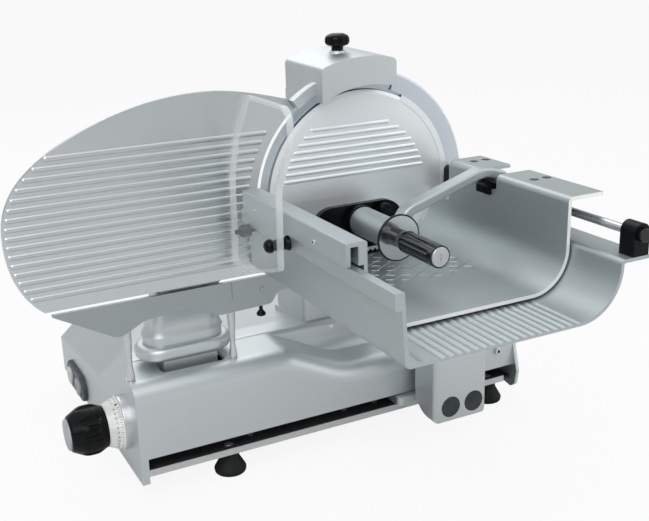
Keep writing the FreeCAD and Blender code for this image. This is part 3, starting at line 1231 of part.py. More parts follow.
def gripper_rim():
    outer = stadium(GRIPPER_LEFT, GRIPPER_RIGHT, GRIPPER_BOTTOM, GRIPPER_TOP)
    inner = stadium(GRIPPER_LEFT, GRIPPER_RIGHT, GRIPPER_BOTTOM, GRIPPER_TOP, 4.0)
    y0 = GRIPPER_FRONT - 2.0
    rim = prism_y(outer, y0, GRIPPER_FRONT + GRIPPER_THICK).cut(prism_y(inner, y0 - 1.0, 0.0))
    rim = rim.cut(bar_y(CLAMP_R + 1.8, y0 - 1.0, GRIPPER_FRONT, CLAMP_X, CLAMP_Z))
    knobs = []
    for x in (GRIPPER_LEFT + 14.0, GRIPPER_RIGHT - 38.0):
        knobs.append(turned([(0.0, 0.0), (5.0, 0.0), (5.0, -5.0, 2.0), (9.5, -7.0, 2.0), (9.5, -15.0, 4.0),
                             (0.0, -17.0)], V(x, GRIPPER_FRONT, GRIPPER_TOP - 24.0 if x < -80 else -14.0), AXIS_Y))
    return group([rim] + knobs)


def hand_guard_disc():
    return turned([(0.0, 0.0), (DISC_R, 0.0, 1.2), (DISC_R, -3.0, 1.2), (0.0, -3.0)],
                  V(CLAMP_X, CLAMP_FRONT, CLAMP_Z), AXIS_Y)


def grip():
    back = CLAMP_FRONT - 3.0
    body = turned([(0.0, back), (GRIP_R - 2.5, back), (GRIP_R - 2.5, back - 12.0, 6.0), (GRIP_R, back - 22.0, 8.0),
                   (GRIP_R, GRIP_FRONT), (GRIP_R - 2.0, GRIP_FRONT), (GRIP_R - 2.0, GRIP_FRONT + 2.0),
                   (0.0, GRIP_FRONT + 2.0)], V(CLAMP_X, 0, CLAMP_Z), AXIS_Y)
    flutes = []
    for i in range(8):
        angle = math.radians(45 * i + 22.5)
        flutes.append(bar_y(7.0, GRIP_FRONT + 10.0, back - 24.0, CLAMP_X + (GRIP_R + 5.9) * math.cos(angle),
                            CLAMP_Z + (GRIP_R + 5.9) * math.sin(angle)))
    return body.cut(flutes)


def grip_cap():
    cap = turned([(0.0, GRIP_FRONT + 2.0), (GRIP_R - 2.1, GRIP_FRONT + 2.0), (GRIP_R - 2.1, GRIP_FRONT - 2.0, 1.5),
                  (0.0, GRIP_FRONT - 2.0)], V(CLAMP_X, 0, CLAMP_Z), AXIS_Y)
    return cap.cut(box(CLAMP_X - 0.9, CLAMP_X + 0.9, GRIP_FRONT - 3.0, GRIP_FRONT - 0.8,
                       CLAMP_Z - 6.0, CLAMP_Z + 6.0))


# -------------------------------------------------------------------------- assembly
PIECES = {
    "base_housing": base_housing,
    "base_plate": base_plate,
    "plate_screws": plate_screws,
    "rubber_feet": rubber_feet,
    "foot_studs": foot_studs,
    "guide_rail": guide_rail,
    "gauge_guides": gauge_guides,
    "switch_bezel": switch_bezel,
    "start_button": lambda: push_button(BUTTON_SPREAD),
    "stop_button": lambda: push_button(-BUTTON_SPREAD),
    "dial_collar": dial_collar,
    "dial_scale": dial_scale,
    "thickness_knob": thickness_knob,
    "knob_cap": knob_cap,
    "thickness_shaft": thickness_shaft,
    "gauge_plate": gauge_plate,
    "gauge_support": gauge_support,
    "lower_guard": lower_guard,
    "guard_posts": guard_posts,
    "guard_cover": guard_cover,
    "guard_knob": guard_knob,
    "pedestal": pedestal,
    "rear_cover": rear_cover,
    "cover_screws": cover_screws,
    "spindle_bearings": spindle_bearings,
    "blade_spindle": blade_spindle,
    "blade": blade,
    "blade_bolts": blade_bolts,
    "blade_pulley": blade_pulley,
    "drive_belt": drive_belt,
    "motor": motor,
    "motor_pulley": motor_pulley,
    "ring_guard": ring_guard,
    "blade_cover": blade_cover,
    "sharpener_housing": sharpener_housing,
    "sharpener_bracket": sharpener_bracket,
    "sharpener_knob": sharpener_knob,
    "front_stone": lambda: stone(FRONT_STONE_AT, -26.0, -12.0),
    "rear_stone": lambda: stone(REAR_STONE_AT, 17.0, 31.0),
    "lower_tray": lower_tray,
    "carriage_stem": carriage_stem,
    "stem_plugs": stem_plugs,
    "carriage_slider": carriage_slider,
    "product_rod": product_rod,
    "rod_blocks": rod_blocks,
    "plexi_guard": plexi_guard,
    "guard_spacers": guard_spacers,
    "product_tray": product_tray,
    "top_rail": top_rail,
    "rail_pads": rail_pads,
    "bushing_blocks": bushing_blocks,
    "flange_screws": flange_screws,
    "tooth_strip": tooth_strip,
    "clamp_arm": clamp_arm,
    "clamp_bushings": clamp_bushings,
    "gripper_plate": gripper_plate,
    "gripper_rim": gripper_rim,
    "hand_guard_disc": hand_guard_disc,
    "grip": grip,
    "grip_cap": grip_cap,
}


def main():
    os.makedirs("parts", exist_ok=True)
    for name, make in PIECES.items():
        save(name, make())


main()
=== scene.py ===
"""Finishes, markings and small fittings of a vertical-blade food slicer, over its CAD frame."""

import math

import bmesh
import bpy
from mathutils import Matrix, Vector


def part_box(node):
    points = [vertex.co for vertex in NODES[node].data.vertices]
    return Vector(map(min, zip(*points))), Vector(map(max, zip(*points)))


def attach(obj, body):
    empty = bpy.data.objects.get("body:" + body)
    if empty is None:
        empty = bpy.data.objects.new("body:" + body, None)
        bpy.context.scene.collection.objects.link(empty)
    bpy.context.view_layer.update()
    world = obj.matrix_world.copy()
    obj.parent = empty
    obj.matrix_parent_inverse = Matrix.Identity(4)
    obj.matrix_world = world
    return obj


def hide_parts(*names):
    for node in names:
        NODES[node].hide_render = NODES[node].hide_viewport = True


bl_info = {
    "name": "Food slicer finishes",
    "version": (1, 1, 0),
    "blender": (4, 5, 0),
    "location": "View3D > Sidebar > Slicer",
    "description": "Dresses the packed food slicer: metal finishes, markings and small fittings",
    "category": "Object",
}

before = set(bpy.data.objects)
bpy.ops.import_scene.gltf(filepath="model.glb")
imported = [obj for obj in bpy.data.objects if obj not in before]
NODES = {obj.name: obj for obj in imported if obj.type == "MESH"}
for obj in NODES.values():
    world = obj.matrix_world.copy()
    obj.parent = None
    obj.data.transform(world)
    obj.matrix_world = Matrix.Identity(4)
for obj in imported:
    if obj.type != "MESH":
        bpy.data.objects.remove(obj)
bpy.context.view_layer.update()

X, Y = 0, 1
UP, LEFT = (0.0, 0.0, 1.0), (-1.0, 0.0, 0.0)
FRONT, REAR = (0.0, -1.0, 0.0), (0.0, 1.0, 0.0)
WHITE = (1.0, 1.0, 1.0, 1.0)


def node_box(name):
    low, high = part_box(name)
    return Vector(low), Vector(high)


def node_centre(name):
    low, high = node_box(name)
    return (low + high) / 2.0


BLADE_AXIS = node_centre("blade_pulley")               # on the spindle's line
DATUM = Vector((BLADE_AXIS.x, -0.015, BLADE_AXIS.z))   # where the blade's edge plane cuts that line


def at(x, y, z):
    """A point given in millimetres from the datum."""
    return DATUM + Vector((x, y, z)) / 1000.0


# ------------------------------------------------------------------------ settings
def colour(name, description, default):
    return bpy.props.FloatVectorProperty(name=name, description=description, default=default,
                                         subtype="COLOR", size=3, min=0.0, max=1.0)


def length(name, description, default):
    return bpy.props.FloatProperty(name=name, description=description, default=default,
                                   min=0.0001, unit="LENGTH", precision=4)


def power(name, description, default):
    return bpy.props.FloatProperty(name=name, description=description, default=default,
                                   min=0.0, unit="POWER")


class SlicerFinish(bpy.types.PropertyGroup):
    """Colours of the slicer's materials"""
    casting: colour("Casting", "Polished aluminium casting", (0.60, 0.64, 0.655))
    ring: colour("Guard ring", "Anodised ring round the blade", (0.60, 0.66, 0.72))
    # painted highlight: a near-white band along the product tray's front edge
    bare: colour("Edge highlight", "Painted highlight along the product tray's front edge", (0.95, 0.95, 0.95))
    cover: colour("Blade cover", "Bright machined blade cover", (0.86, 0.90, 0.92))
    sheet: colour("Sheet", "Anodised aluminium of the two trays", (0.46, 0.51, 0.525))
    plate: colour("Gauge plate", "Anodised gauge plate", (0.60, 0.635, 0.65))
    guard: colour("Lower guard", "Fixed guard under the gauge plate", (0.36, 0.40, 0.41))
    steel: colour("Steel", "Stainless rods, screws and base plate", (0.62, 0.63, 0.64))
    blade: colour("Blade", "Ground blade steel", (0.62, 0.68, 0.74))
    plastic: colour("Black plastic", "Knobs, blocks and trim", (0.003, 0.0035, 0.004))
    gloss: colour("Gloss black", "Grip of the clamp", (0.004, 0.005, 0.006))
    # painted shade: near-black on the base plate's top, where it lies in shadow in the slot
    inside: colour("Inside", "Painted shade on the base plate behind its rim, where the slot is in shadow", (0.02, 0.022, 0.022))
    rubber: colour("Rubber", "Feet and belt", (0.012, 0.013, 0.013))
    plug: colour("Plugs", "Grey plugs in the carriage post", (0.045, 0.05, 0.055))
    dial: colour("Dial", "Graduated ring", (0.74, 0.76, 0.75))
    cap: colour("Knob cap", "Grey cap on the thickness knob", (0.40, 0.42, 0.45))
    bezel: colour("Bezel", "Frame round the two buttons", (0.05, 0.06, 0.065))
    start: colour("Start button", "Start button", (0.52, 0.57, 0.55))
    stop: colour("Stop button", "Stop button", (0.30, 0.33, 0.37))
    ink: colour("Marking ink", "Printed graduations and numbers", (0.03, 0.035, 0.035))
    motor: colour("Motor", "Paint on the motor", (0.12, 0.13, 0.14))
    stone: colour("Stones", "Bonded grit of the two stones", (0.35, 0.30, 0.26))
    acrylic: colour("Acrylic", "Clear hand guard", (0.84, 0.87, 0.87))
    handled: colour("Handled acrylic", "Clear hand guard where hands have been", (0.80, 0.83, 0.83))


class SlicerFittings(bpy.types.PropertyGroup):
    """Sizes of the markings and small fittings"""
    numeral: length("Numeral", "Height of the dial's numbers", 0.0044)
    tick: length("Tick", "Length of the dial's graduations", 0.0042)
    sign: length("Sign", "Height of the signs on the two buttons", 0.013)
    ridge_pitch: length("Ridge pitch", "Distance between the tray floor's raised lines", 0.0205)
    ridge_radius: length("Ridge radius", "Half width of a raised line", 0.0009)
    ridge_angle: bpy.props.FloatProperty(name="Ridge angle", subtype="ANGLE",
                                         description="Slant of the raised lines",
                                         default=math.radians(32.5))


class SlicerStage(bpy.types.PropertyGroup):
    """Camera, lamps and floor"""
    eye: bpy.props.FloatVectorProperty(name="Eye", description="Camera position", size=3,
                                       subtype="TRANSLATION", unit="LENGTH",
                                       default=(-0.6206, -1.3408, 0.8112))
    lens: bpy.props.FloatProperty(name="Lens", description="Focal length in millimetres",
                                  default=54.44, min=10.0)
    key: power("Key lamp", "Power of the large lamp", 60.0)
    fill: power("Fill lamps", "Power of the side and rear lamps", 22.0)
    ambient: bpy.props.FloatProperty(name="Ambient", default=0.55, min=0.0,
                                     description="Brightness of the soft light all round")
    floor: colour("Floor", "Colour of the floor", (0.80, 0.80, 0.80))


# --------------------------------------------------------------------------- mesh help
def piece_from(bm, name, body, material):
    """Turns a bmesh into a finished piece that rides on a body."""
    mesh = bpy.data.meshes.new(name)
    bm.to_mesh(mesh)
    bm.free()
    piece = bpy.data.objects.new(name, mesh)
    bpy.context.scene.collection.objects.link(piece)
    mesh.materials.append(material)
    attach(piece, body)
    return piece


def finish_nodes(material, *names):
    """Gives CAD nodes one material."""
    for name in names:
        slots = NODES[name].data.materials
        slots.clear()
        slots.append(material)


def merge(bm, part, place):
    """Adds a small part to a mesh, moved to its place."""
    mesh = bpy.data.meshes.new("part")
    part.to_mesh(mesh)
    part.free()
    mesh.transform(place)
    bm.from_mesh(mesh)
    bpy.data.meshes.remove(mesh)


def facing(spot, direction):
    """A place at a spot whose z axis points along a direction."""
    turn = Vector(direction).to_track_quat("Z", "Y")
    return Matrix.Translation(spot) @ turn.to_matrix().to_4x4()


SOCKET_DEPTH = 0.7      # by the head's height


def socket_head(bm, place, radius, height, key, rim):
    """A screw head that rises along z from its place.

    key is the radius of the hexagon socket at its corners, and rim the rounding of the upper edge.
    """
    part = bmesh.new()
    bmesh.ops.create_cone(part, cap_ends=True, segments=28, radius1=radius, radius2=radius,
                          depth=height, matrix=Matrix.Translation((0.0, 0.0, height / 2.0)))
    upper = [e for e in part.edges if all(v.co.z > height * 0.9 for v in e.verts)]
    bmesh.ops.bevel(part, geom=upper, offset=rim, segments=3, affect="EDGES", profile=0.5,
                    material=-1)
    top = max(part.faces, key=lambda f: (f.calc_center_median().z, f.calc_area()))
    outer = list(top.edges)
    bmesh.ops.delete(part, geom=[top], context="FACES_ONLY")
    hexagon = bmesh.ops.create_circle(part, cap_ends=False, segments=6, radius=key,
                                      matrix=Matrix.Translation((0.0, 0.0, height)))["verts"]
    inner = [e for e in part.edges if all(v in hexagon for v in e.verts)]
    bmesh.ops.bridge_loops(part, edges=outer + inner)
    sunk = bmesh.ops.extrude_edge_only(part, edges=inner)["geom"]
    floor = [item for item in sunk if isinstance(item, bmesh.types.BMVert)]
    bmesh.ops.translate(part, verts=floor, vec=(0.0, 0.0, -height * SOCKET_DEPTH))
    foot = [e for e in part.edges if all(v in floor for v in e.verts)]
    bmesh.ops.contextual_create(part, geom=foot)
    bmesh.ops.recalc_face_normals(part, faces=part.faces)
    merge(bm, part, place)


def raised_line(bm, start, end, radius):
    """A low rounded ridge from one point to another, sunk to half its height."""
    run = end - start
    part = bmesh.new()
    bmesh.ops.create_uvsphere(part, u_segments=8, v_segments=5, radius=radius)
    for side in (-1.0, 1.0):
        half = [v for v in part.verts if v.co.z * side > 0.0]
        bmesh.ops.translate(part, verts=half, vec=(0.0, 0.0, side * (run.length / 2.0 - radius)))
    merge(bm, part, facing((start + end) / 2.0, run))


# --------------------------------------------------------------------------- node help
COLOUR_MIX = (6, 7, 2)      # first input, second input and output of a colour mix
FLOAT_MIX = (2, 3, 0)       # the same of a number mix


def link(tree, out, into):
    tree.links.new(out, into)


def add(tree, kind, **values):
    node = tree.nodes.new(kind)
    for key, value in values.items():
        setattr(node, key, value)
    return node


def first_of(tree, kind):
    return next(node for node in tree.nodes if node.bl_idname == kind)


def map_range(tree, value, low, high):
    """Brings a value from 0 to 1 into another range."""
    node = add(tree, "ShaderNodeMapRange")
    node.inputs["To Min"].default_value = low
    node.inputs["To Max"].default_value = high
    link(tree, value, node.inputs["Value"])
    return node.outputs[0]


def multiply_add(tree, value, factor, term):
    node = add(tree, "ShaderNodeMath", operation="MULTIPLY_ADD")
    link(tree, value, node.inputs[0])
    node.inputs[1].default_value = factor
    link(tree, term, node.inputs[2])
    return node


def blend_colour(tree, mask, first, second):
    first_in, second_in, out = COLOUR_MIX
    node = add(tree, "ShaderNodeMix", data_type="RGBA")
    node.inputs[first_in].default_value = (*first, 1.0)
    node.inputs[second_in].default_value = (*second, 1.0)
    link(tree, mask, node.inputs[0])
    return node.outputs[out]


def varied(tree, mask, tint, contrast):
    """A tint that is darker where the mask is 0 and lighter where it is 1."""
    darker, lighter = (tuple(min(1.0, c * factor) for c in tint)
                       for factor in (1.0 - contrast, 1.0 + contrast))
    return blend_colour(tree, mask, darker, lighter)


def bump(tree, shader, height, strength, distance=0.0001):
    node = add(tree, "ShaderNodeBump")
    node.inputs["Strength"].default_value = strength
    node.inputs["Distance"].default_value = distance
    link(tree, height, node.inputs["Height"])
    link(tree, node.outputs[0], shader.inputs["Normal"])


def past_plane(tree, coords, axis, limit, above=True):
    """1 on one side of a plane square to an axis, and 0 on the other."""
    split = tree.nodes.new("ShaderNodeSeparateXYZ")
    link(tree, coords, split.inputs[0])
    past = add(tree, "ShaderNodeMath", operation="GREATER_THAN" if above else "LESS_THAN")
    link(tree, split.outputs[axis], past.inputs[0])
    past.inputs[1].default_value = limit
    return past.outputs[0]


def make_group(name, inputs, outputs):
    """An empty shader group with its sockets, and its two end nodes."""
    group = bpy.data.node_groups.new(name, "ShaderNodeTree")
    for label, kind, default in inputs:
        socket = group.interface.new_socket(label, in_out="INPUT", socket_type=kind)
        if default is not None:
            socket.default_value = default
    for label, kind in outputs:
        group.interface.new_socket(label, in_out="OUTPUT", socket_type=kind)
    return group, group.nodes.new("NodeGroupInput"), group.nodes.new("NodeGroupOutput")


def grain_group():
    """Fine streaks drawn out along one direction, as brushing or rolling leaves."""
    if "Grain streaks" in bpy.data.node_groups:
        return bpy.data.node_groups["Grain streaks"]
    group, start, end = make_group("Grain streaks",
                                   [("Vector", "NodeSocketVector", None),
                                    ("Stretch", "NodeSocketVector", (1.0, 1.0, 1.0)),
                                    ("Density", "NodeSocketFloat", 400.0)],
                                   [("Shade", "NodeSocketFloat"), ("Height", "NodeSocketFloat")])
    scale = add(group, "ShaderNodeVectorMath", operation="MULTIPLY")
    link(group, start.outputs["Vector"], scale.inputs[0])
    link(group, start.outputs["Stretch"], scale.inputs[1])
    fine = add(group, "ShaderNodeTexNoise")
    fine.inputs["Detail"].default_value = 4.0
    fine.inputs["Roughness"].default_value = 0.7
    link(group, scale.outputs[0], fine.inputs["Vector"])
    link(group, start.outputs["Density"], fine.inputs["Scale"])
    spread = add(group, "ShaderNodeMapRange")
    spread.inputs["From Min"].default_value = 0.25
    spread.inputs["From Max"].default_value = 0.75
    link(group, fine.outputs[0], spread.inputs["Value"])
    link(group, spread.outputs[0], end.inputs["Shade"])
    link(group, fine.outputs[0], end.inputs["Height"])
    return group


def marks_group():
    """Broad, soft patches where hands and cloths have been."""
    if "Handling marks" in bpy.data.node_groups:
        return bpy.data.node_groups["Handling marks"]
    group, start, end = make_group("Handling marks",
                                   [("Vector", "NodeSocketVector", None),
                                    ("Size", "NodeSocketFloat", 7.0)],
                                   [("Mask", "NodeSocketFloat")])
    broad = add(group, "ShaderNodeTexNoise")
    broad.inputs["Detail"].default_value = 3.0
    broad.inputs["Roughness"].default_value = 0.5
    broad.inputs["Distortion"].default_value = 0.3
    link(group, start.outputs["Vector"], broad.inputs["Vector"])
    link(group, start.outputs["Size"], broad.inputs["Scale"])
    curve = add(group, "ShaderNodeMapRange", interpolation_type="SMOOTHSTEP")
    curve.inputs["From Min"].default_value = 0.3
    curve.inputs["From Max"].default_value = 0.7
    link(group, broad.outputs[0], curve.inputs["Value"])
    link(group, curve.outputs[0], end.inputs["Mask"])
    return group


def place_group(tree, group, coords, **values):
    """A group at work on some coordinates, with its other inputs set."""
    node = tree.nodes.new("ShaderNodeGroup")
    node.node_tree = group
    link(tree, coords, node.inputs["Vector"])
    for label, value in values.items():
        node.inputs[label].default_value = value
    return node


# --------------------------------------------------------------------------- materials
# scales of the grain's coordinates: it is drawn out along an axis whose scale is small
EVEN = (1.0, 1.0, 1.0)
ALONG_X = (0.05, 1.0, 1.0)
ALONG_Y = (1.0, 0.05, 1.0)
ROD_GRAIN = (1.0, 0.06, 1.0)
FLAT_GRAIN = (0.06, 0.06, 1.0)
PLATE_GRAIN = (1.0, 0.06, 0.06)

METAL_CONTRAST = 0.03           # how far grain and marks change the colour
MOULDED_CONTRAST = 0.15
GRAIN_POLISH = 0.025            # how far they change the roughness
RING_POLISH = 0.03
MOULDED_POLISH = 0.08
RING_RELIEF = 0.015
SKIN_DENSITY = 900.0            # fineness of a moulded skin, and of the marks on it
SKIN_MARKS = 30.0


def blank_material(name):
    """A material with a Principled shader, and Object coordinates ready to use."""
    made = bpy.data.materials.new(name)
    made.use_nodes = True
    tree = made.node_tree
    tree.nodes.clear()
    out = tree.nodes.new("ShaderNodeOutputMaterial")
    shader = tree.nodes.new("ShaderNodeBsdfPrincipled")
    link(tree, shader.outputs[0], out.inputs["Surface"])
    coords = tree.nodes.new("ShaderNodeTexCoord")
    return made, tree, shader, coords.outputs["Object"]


def metal_skin(tree, shader, tone, streak, mask, tint, rough, polish, body):
    """Colour and gloss of a bare metal: tone varies its colour, streaks and marks its gloss."""
    link(tree, varied(tree, tone, tint, METAL_CONTRAST), shader.inputs["Base Color"])
    gloss = multiply_add(tree, streak, polish, map_range(tree, mask, rough - polish, rough))
    link(tree, gloss.outputs[0], shader.inputs["Roughness"])
    shader.inputs["Metallic"].default_value = body


def metal(name, tint, stretch, density, rough, relief=0.012, body=0.85):
    """Satin metal with streaks along one direction, and handling marks in its gloss."""
    made, tree, shader, coords = blank_material(name)
    streaks = place_group(tree, grain_group(), coords, Stretch=stretch, Density=density)
    streak = streaks.outputs["Shade"]
    mask = place_group(tree, marks_group(), coords).outputs["Mask"]
    tone = multiply_add(tree, streak, 0.6, map_range(tree, mask, 0.0, 0.4))
    metal_skin(tree, shader, tone.outputs[0], streak, mask, tint, rough, GRAIN_POLISH, body)
    bump(tree, shader, streaks.outputs["Height"], relief, 0.0002)
    return made


def turned_metal(name, tint, centre, density, rough, body=0.9):
    """Metal with fine rings about a line along y, as turning or grinding leaves."""
    made, tree, shader, coords = blank_material(name)
    place = add(tree, "ShaderNodeMapping")
    place.inputs["Location"].default_value = tuple(-c for c in centre)
    link(tree, coords, place.inputs["Vector"])
    flat = add(tree, "ShaderNodeVectorMath", operation="MULTIPLY")
    flat.inputs[1].default_value = (1.0, 0.0, 1.0)
    link(tree, place.outputs[0], flat.inputs[0])
    radius = add(tree, "ShaderNodeVectorMath", operation="LENGTH")
    link(tree, flat.outputs[0], radius.inputs[0])
    rings = add(tree, "ShaderNodeTexNoise", noise_dimensions="1D")
    rings.inputs["Scale"].default_value = density
    rings.inputs["Detail"].default_value = 3.0
    link(tree, radius.outputs["Value"], rings.inputs["W"])
    ring = rings.outputs[0]
    mask = place_group(tree, marks_group(), coords).outputs["Mask"]
    metal_skin(tree, shader, ring, ring, mask, tint, rough, RING_POLISH, body)
    bump(tree, shader, ring, RING_RELIEF)
    return made


def moulded(name, tint, rough, relief=0.06, shine=0.5):
    """Moulded plastic, paint, rubber or grit with a fine skin and slightly uneven gloss."""
    made, tree, shader, coords = blank_material(name)
    mask = place_group(tree, marks_group(), coords, Size=SKIN_MARKS).outputs["Mask"]
    skin = place_group(tree, grain_group(), coords, Density=SKIN_DENSITY)
    link(tree, varied(tree, mask, tint, MOULDED_CONTRAST), shader.inputs["Base Color"])
    link(tree, map_range(tree, mask, rough, rough + MOULDED_POLISH),
         shader.inputs["Roughness"])
    shader.inputs["Specular IOR Level"].default_value = shine
    bump(tree, shader, skin.outputs["Height"], relief)
    return made


def over(tree, mask, tint, rough, body):
    """Lays a second finish over a metal where a mask is 1."""
    shader = first_of(tree, "ShaderNodeBsdfPrincipled")
    first_in, second_in, out = COLOUR_MIX
    colours = add(tree, "ShaderNodeMix", data_type="RGBA")
    link(tree, mask, colours.inputs[0])
    link(tree, shader.inputs["Base Color"].links[0].from_socket, colours.inputs[first_in])
    colours.inputs[second_in].default_value = (*tint, 1.0)
    link(tree, colours.outputs[out], shader.inputs["Base Color"])
    first_in, second_in, out = FLOAT_MIX
    gloss = add(tree, "ShaderNodeMix", data_type="FLOAT")
    link(tree, mask, gloss.inputs[0])
    link(tree, shader.inputs["Roughness"].links[0].from_socket, gloss.inputs[first_in])
    gloss.inputs[second_in].default_value = rough
    link(tree, gloss.outputs[out], shader.inputs["Roughness"])
    metallic = shader.inputs["Metallic"]
    link(tree, map_range(tree, mask, metallic.default_value, body), metallic)


def trimmed(made, limit, above, tint, rough, body=0.0):
    """Gives a metal another finish past a plane square to y.

    It serves for a painted highlight along a cut edge, painted shade on a face and a capped end.
    """
    tree = made.node_tree
    coords = first_of(tree, "ShaderNodeTexCoord").outputs["Object"]
    over(tree, past_plane(tree, coords, Y, limit, above), tint, rough, body)
    return made


def rimmed_disc(name, tint, rim, centre, edge):
    """Polished disc with a dark rim outside a radius."""
    made = turned_metal(name, tint, centre, 900.0, 0.12, body=1.0)
    tree = made.node_tree
    radius = next(node for node in tree.nodes
                  if node.type == "VECT_MATH" and node.operation == "LENGTH")
    past = add(tree, "ShaderNodeMath", operation="GREATER_THAN")
    link(tree, radius.outputs["Value"], past.inputs[0])
    past.inputs[1].default_value = edge
    over(tree, past.outputs[0], rim, 0.2, 0.0)
    return made


# --------------------------------------------------------------------------- operators
class SLICER_OT_stage(bpy.types.Operator):
    """Camera, lamps, sky and floor"""
    bl_idname = "slicer.stage"
    bl_label = "Stage"

    AXES = ((0.88622431, -0.46246696, -0.02703282),     # the camera's right,
            (0.16678814, 0.26408672, 0.94996838),       # its up,
            (-0.43218998, -0.84639383, 0.31117408))     # and its back
    AIM = (0.0, 0.0, 0.35)                              # where the lamps point
    # the tent's brightness by the height looked at: 0 is straight down, 1 straight up
    TENT = ((0.48, 0.85), (0.56, 0.62), (0.66, 0.46), (0.78, 0.62), (0.90, 1.0))
    FLOOR_HALF = 60.0
    FLOOR_GLOW = 0.90           # share of plain white in the floor that the camera sees

    def execute(self, context):
        setup = context.scene.slicer_stage
        camera = bpy.data.cameras.new("Camera")
        camera.lens = setup.lens
        camera.sensor_width = 36.0
        camera.clip_start = 0.05
        camera.clip_end = 200.0
        eye = bpy.data.objects.new("Camera", camera)
        context.scene.collection.objects.link(eye)
        turn = Matrix(self.AXES).transposed().to_4x4()
        eye.matrix_world = Matrix.Translation(setup.eye) @ turn
        context.scene.camera = eye
        context.scene.view_settings.view_transform = "Standard"
        self.lamp(context, "Key lamp", setup.key, 3.0, (-1.7, -2.0, 2.7))
        self.lamp(context, "Fill lamp", setup.fill, 2.6, (2.4, -1.4, 1.5))
        self.lamp(context, "Rear lamp", setup.fill, 2.4, (0.4, 2.4, 2.4))
        self.sky(context, setup)
        self.floor(context, setup)
        return {"FINISHED"}

    def lamp(self, context, name, watts, size, place):
        data = bpy.data.lights.new(name, "AREA")
        data.energy = watts
        data.size = size
        lamp = bpy.data.objects.new(name, data)
        lamp.location = place
        aim = Vector(self.AIM) - Vector(place)
        lamp.rotation_euler = aim.to_track_quat("-Z", "Y").to_euler()
        context.scene.collection.objects.link(lamp)

    def seen(self, tree):
        """1 for what the camera sees, directly or in metal and glass, and 0 for light it casts."""
        path = tree.nodes.new("ShaderNodeLightPath")
        first = add(tree, "ShaderNodeMath", operation="MAXIMUM")
        link(tree, path.outputs["Is Camera Ray"], first.inputs[0])
        link(tree, path.outputs["Is Glossy Ray"], first.inputs[1])
        both = add(tree, "ShaderNodeMath", operation="MAXIMUM")
        link(tree, first.outputs[0], both.inputs[0])
        link(tree, path.outputs["Is Transmission Ray"], both.inputs[1])
        return both.outputs[0], path.outputs["Is Glossy Ray"]

    def tent(self, tree):
        """Brightness of the tent by height: light low down, grey half way up, white overhead."""
        coords = tree.nodes.new("ShaderNodeTexCoord")
        split = tree.nodes.new("ShaderNodeSeparateXYZ")
        link(tree, coords.outputs["Object"], split.inputs[0])
        height = add(tree, "ShaderNodeMapRange")
        height.inputs["From Min"].default_value = -1.0
        height.inputs["From Max"].default_value = 1.0
        link(tree, split.outputs["Z"], height.inputs["Value"])
        ramp = tree.nodes.new("ShaderNodeValToRGB")
        link(tree, height.outputs[0], ramp.inputs["Fac"])
        ramp.color_ramp.interpolation = "EASE"
        ramp.color_ramp.elements[0].position = self.TENT[0][0]
        ramp.color_ramp.elements[1].position = self.TENT[-1][0]
        for place, _ in self.TENT[1:-1]:
            ramp.color_ramp.elements.new(place)
        for element, (_, value) in zip(ramp.color_ramp.elements, self.TENT):
            element.color = (value, value, value, 1.0)
        return ramp.outputs["Color"]

    def sky(self, context, setup):
        """Soft even light for the object, a tent for its reflections, and white for the camera."""
        world = bpy.data.worlds.new("Studio")
        context.scene.world = world
        world.use_nodes = True
        tree = world.node_tree
        tree.nodes.clear()
        out = tree.nodes.new("ShaderNodeOutputWorld")
        seen, glossy = self.seen(tree)
        soft = tree.nodes.new("ShaderNodeBackground")
        soft.inputs["Color"].default_value = WHITE
        soft.inputs["Strength"].default_value = setup.ambient
        white = tree.nodes.new("ShaderNodeBackground")
        first_in, second_in, tone_out = COLOUR_MIX
        tone = add(tree, "ShaderNodeMix", data_type="RGBA")
        tone.inputs[first_in].default_value = WHITE
        link(tree, glossy, tone.inputs[0])
        link(tree, self.tent(tree), tone.inputs[second_in])
        link(tree, tone.outputs[tone_out], white.inputs["Color"])
        white.inputs["Strength"].default_value = 1.0
        mix = tree.nodes.new("ShaderNodeMixShader")
        link(tree, seen, mix.inputs[0])
        link(tree, soft.outputs[0], mix.inputs[1])
        link(tree, white.outputs[0], mix.inputs[2])
        link(tree, mix.outputs[0], out.inputs["Surface"])

    def floor(self, context, setup):
        """Pale floor that the camera sees nearly white, and reflections as it is."""
        bm = bmesh.new()
        bmesh.ops.create_grid(bm, x_segments=1, y_segments=1, size=self.FLOOR_HALF)
        mesh = bpy.data.meshes.new("Floor")
        bm.to_mesh(mesh)
        bm.free()
        ground = bpy.data.objects.new("Floor", mesh)
        context.scene.collection.objects.link(ground)
        made, tree, shader, _ = blank_material("Floor")
        shader.inputs["Base Color"].default_value = (*setup.floor, 1.0)
        shader.inputs["Roughness"].default_value = 0.9
        shader.inputs["Specular IOR Level"].default_value = 0.0
        glow = tree.nodes.new("ShaderNodeEmission")
        glow.inputs["Color"].default_value = WHITE
        seen, glossy = self.seen(tree)
        share = add(tree, "ShaderNodeMath", operation="MULTIPLY")
        link(tree, seen, share.inputs[0])
        link(tree, map_range(tree, glossy, self.FLOOR_GLOW, 0.0), share.inputs[1])
        mix = tree.nodes.new("ShaderNodeMixShader")
        link(tree, share.outputs[0], mix.inputs[0])
        link(tree, shader.outputs[0], mix.inputs[1])
        link(tree, glow.outputs[0], mix.inputs[2])
        link(tree, mix.outputs[0], first_of(tree, "ShaderNodeOutputMaterial").inputs["Surface"])
        mesh.materials.append(made)


class SLICER_OT_castings(bpy.types.Operator):
    """Finish of the cast aluminium pieces"""
    bl_idname = "slicer.castings"
    bl_label = "Castings"

    def execute(self, context):
        satin = metal("Polished casting", context.scene.slicer_finish.casting, EVEN, 500.0, 0.43)
        finish_nodes(satin, "base_housing", "pedestal", "gauge_support", "sharpener_housing",
                     "rear_cover", "sharpener_bracket", "carriage_slider", "carriage_stem")
        return {"FINISHED"}


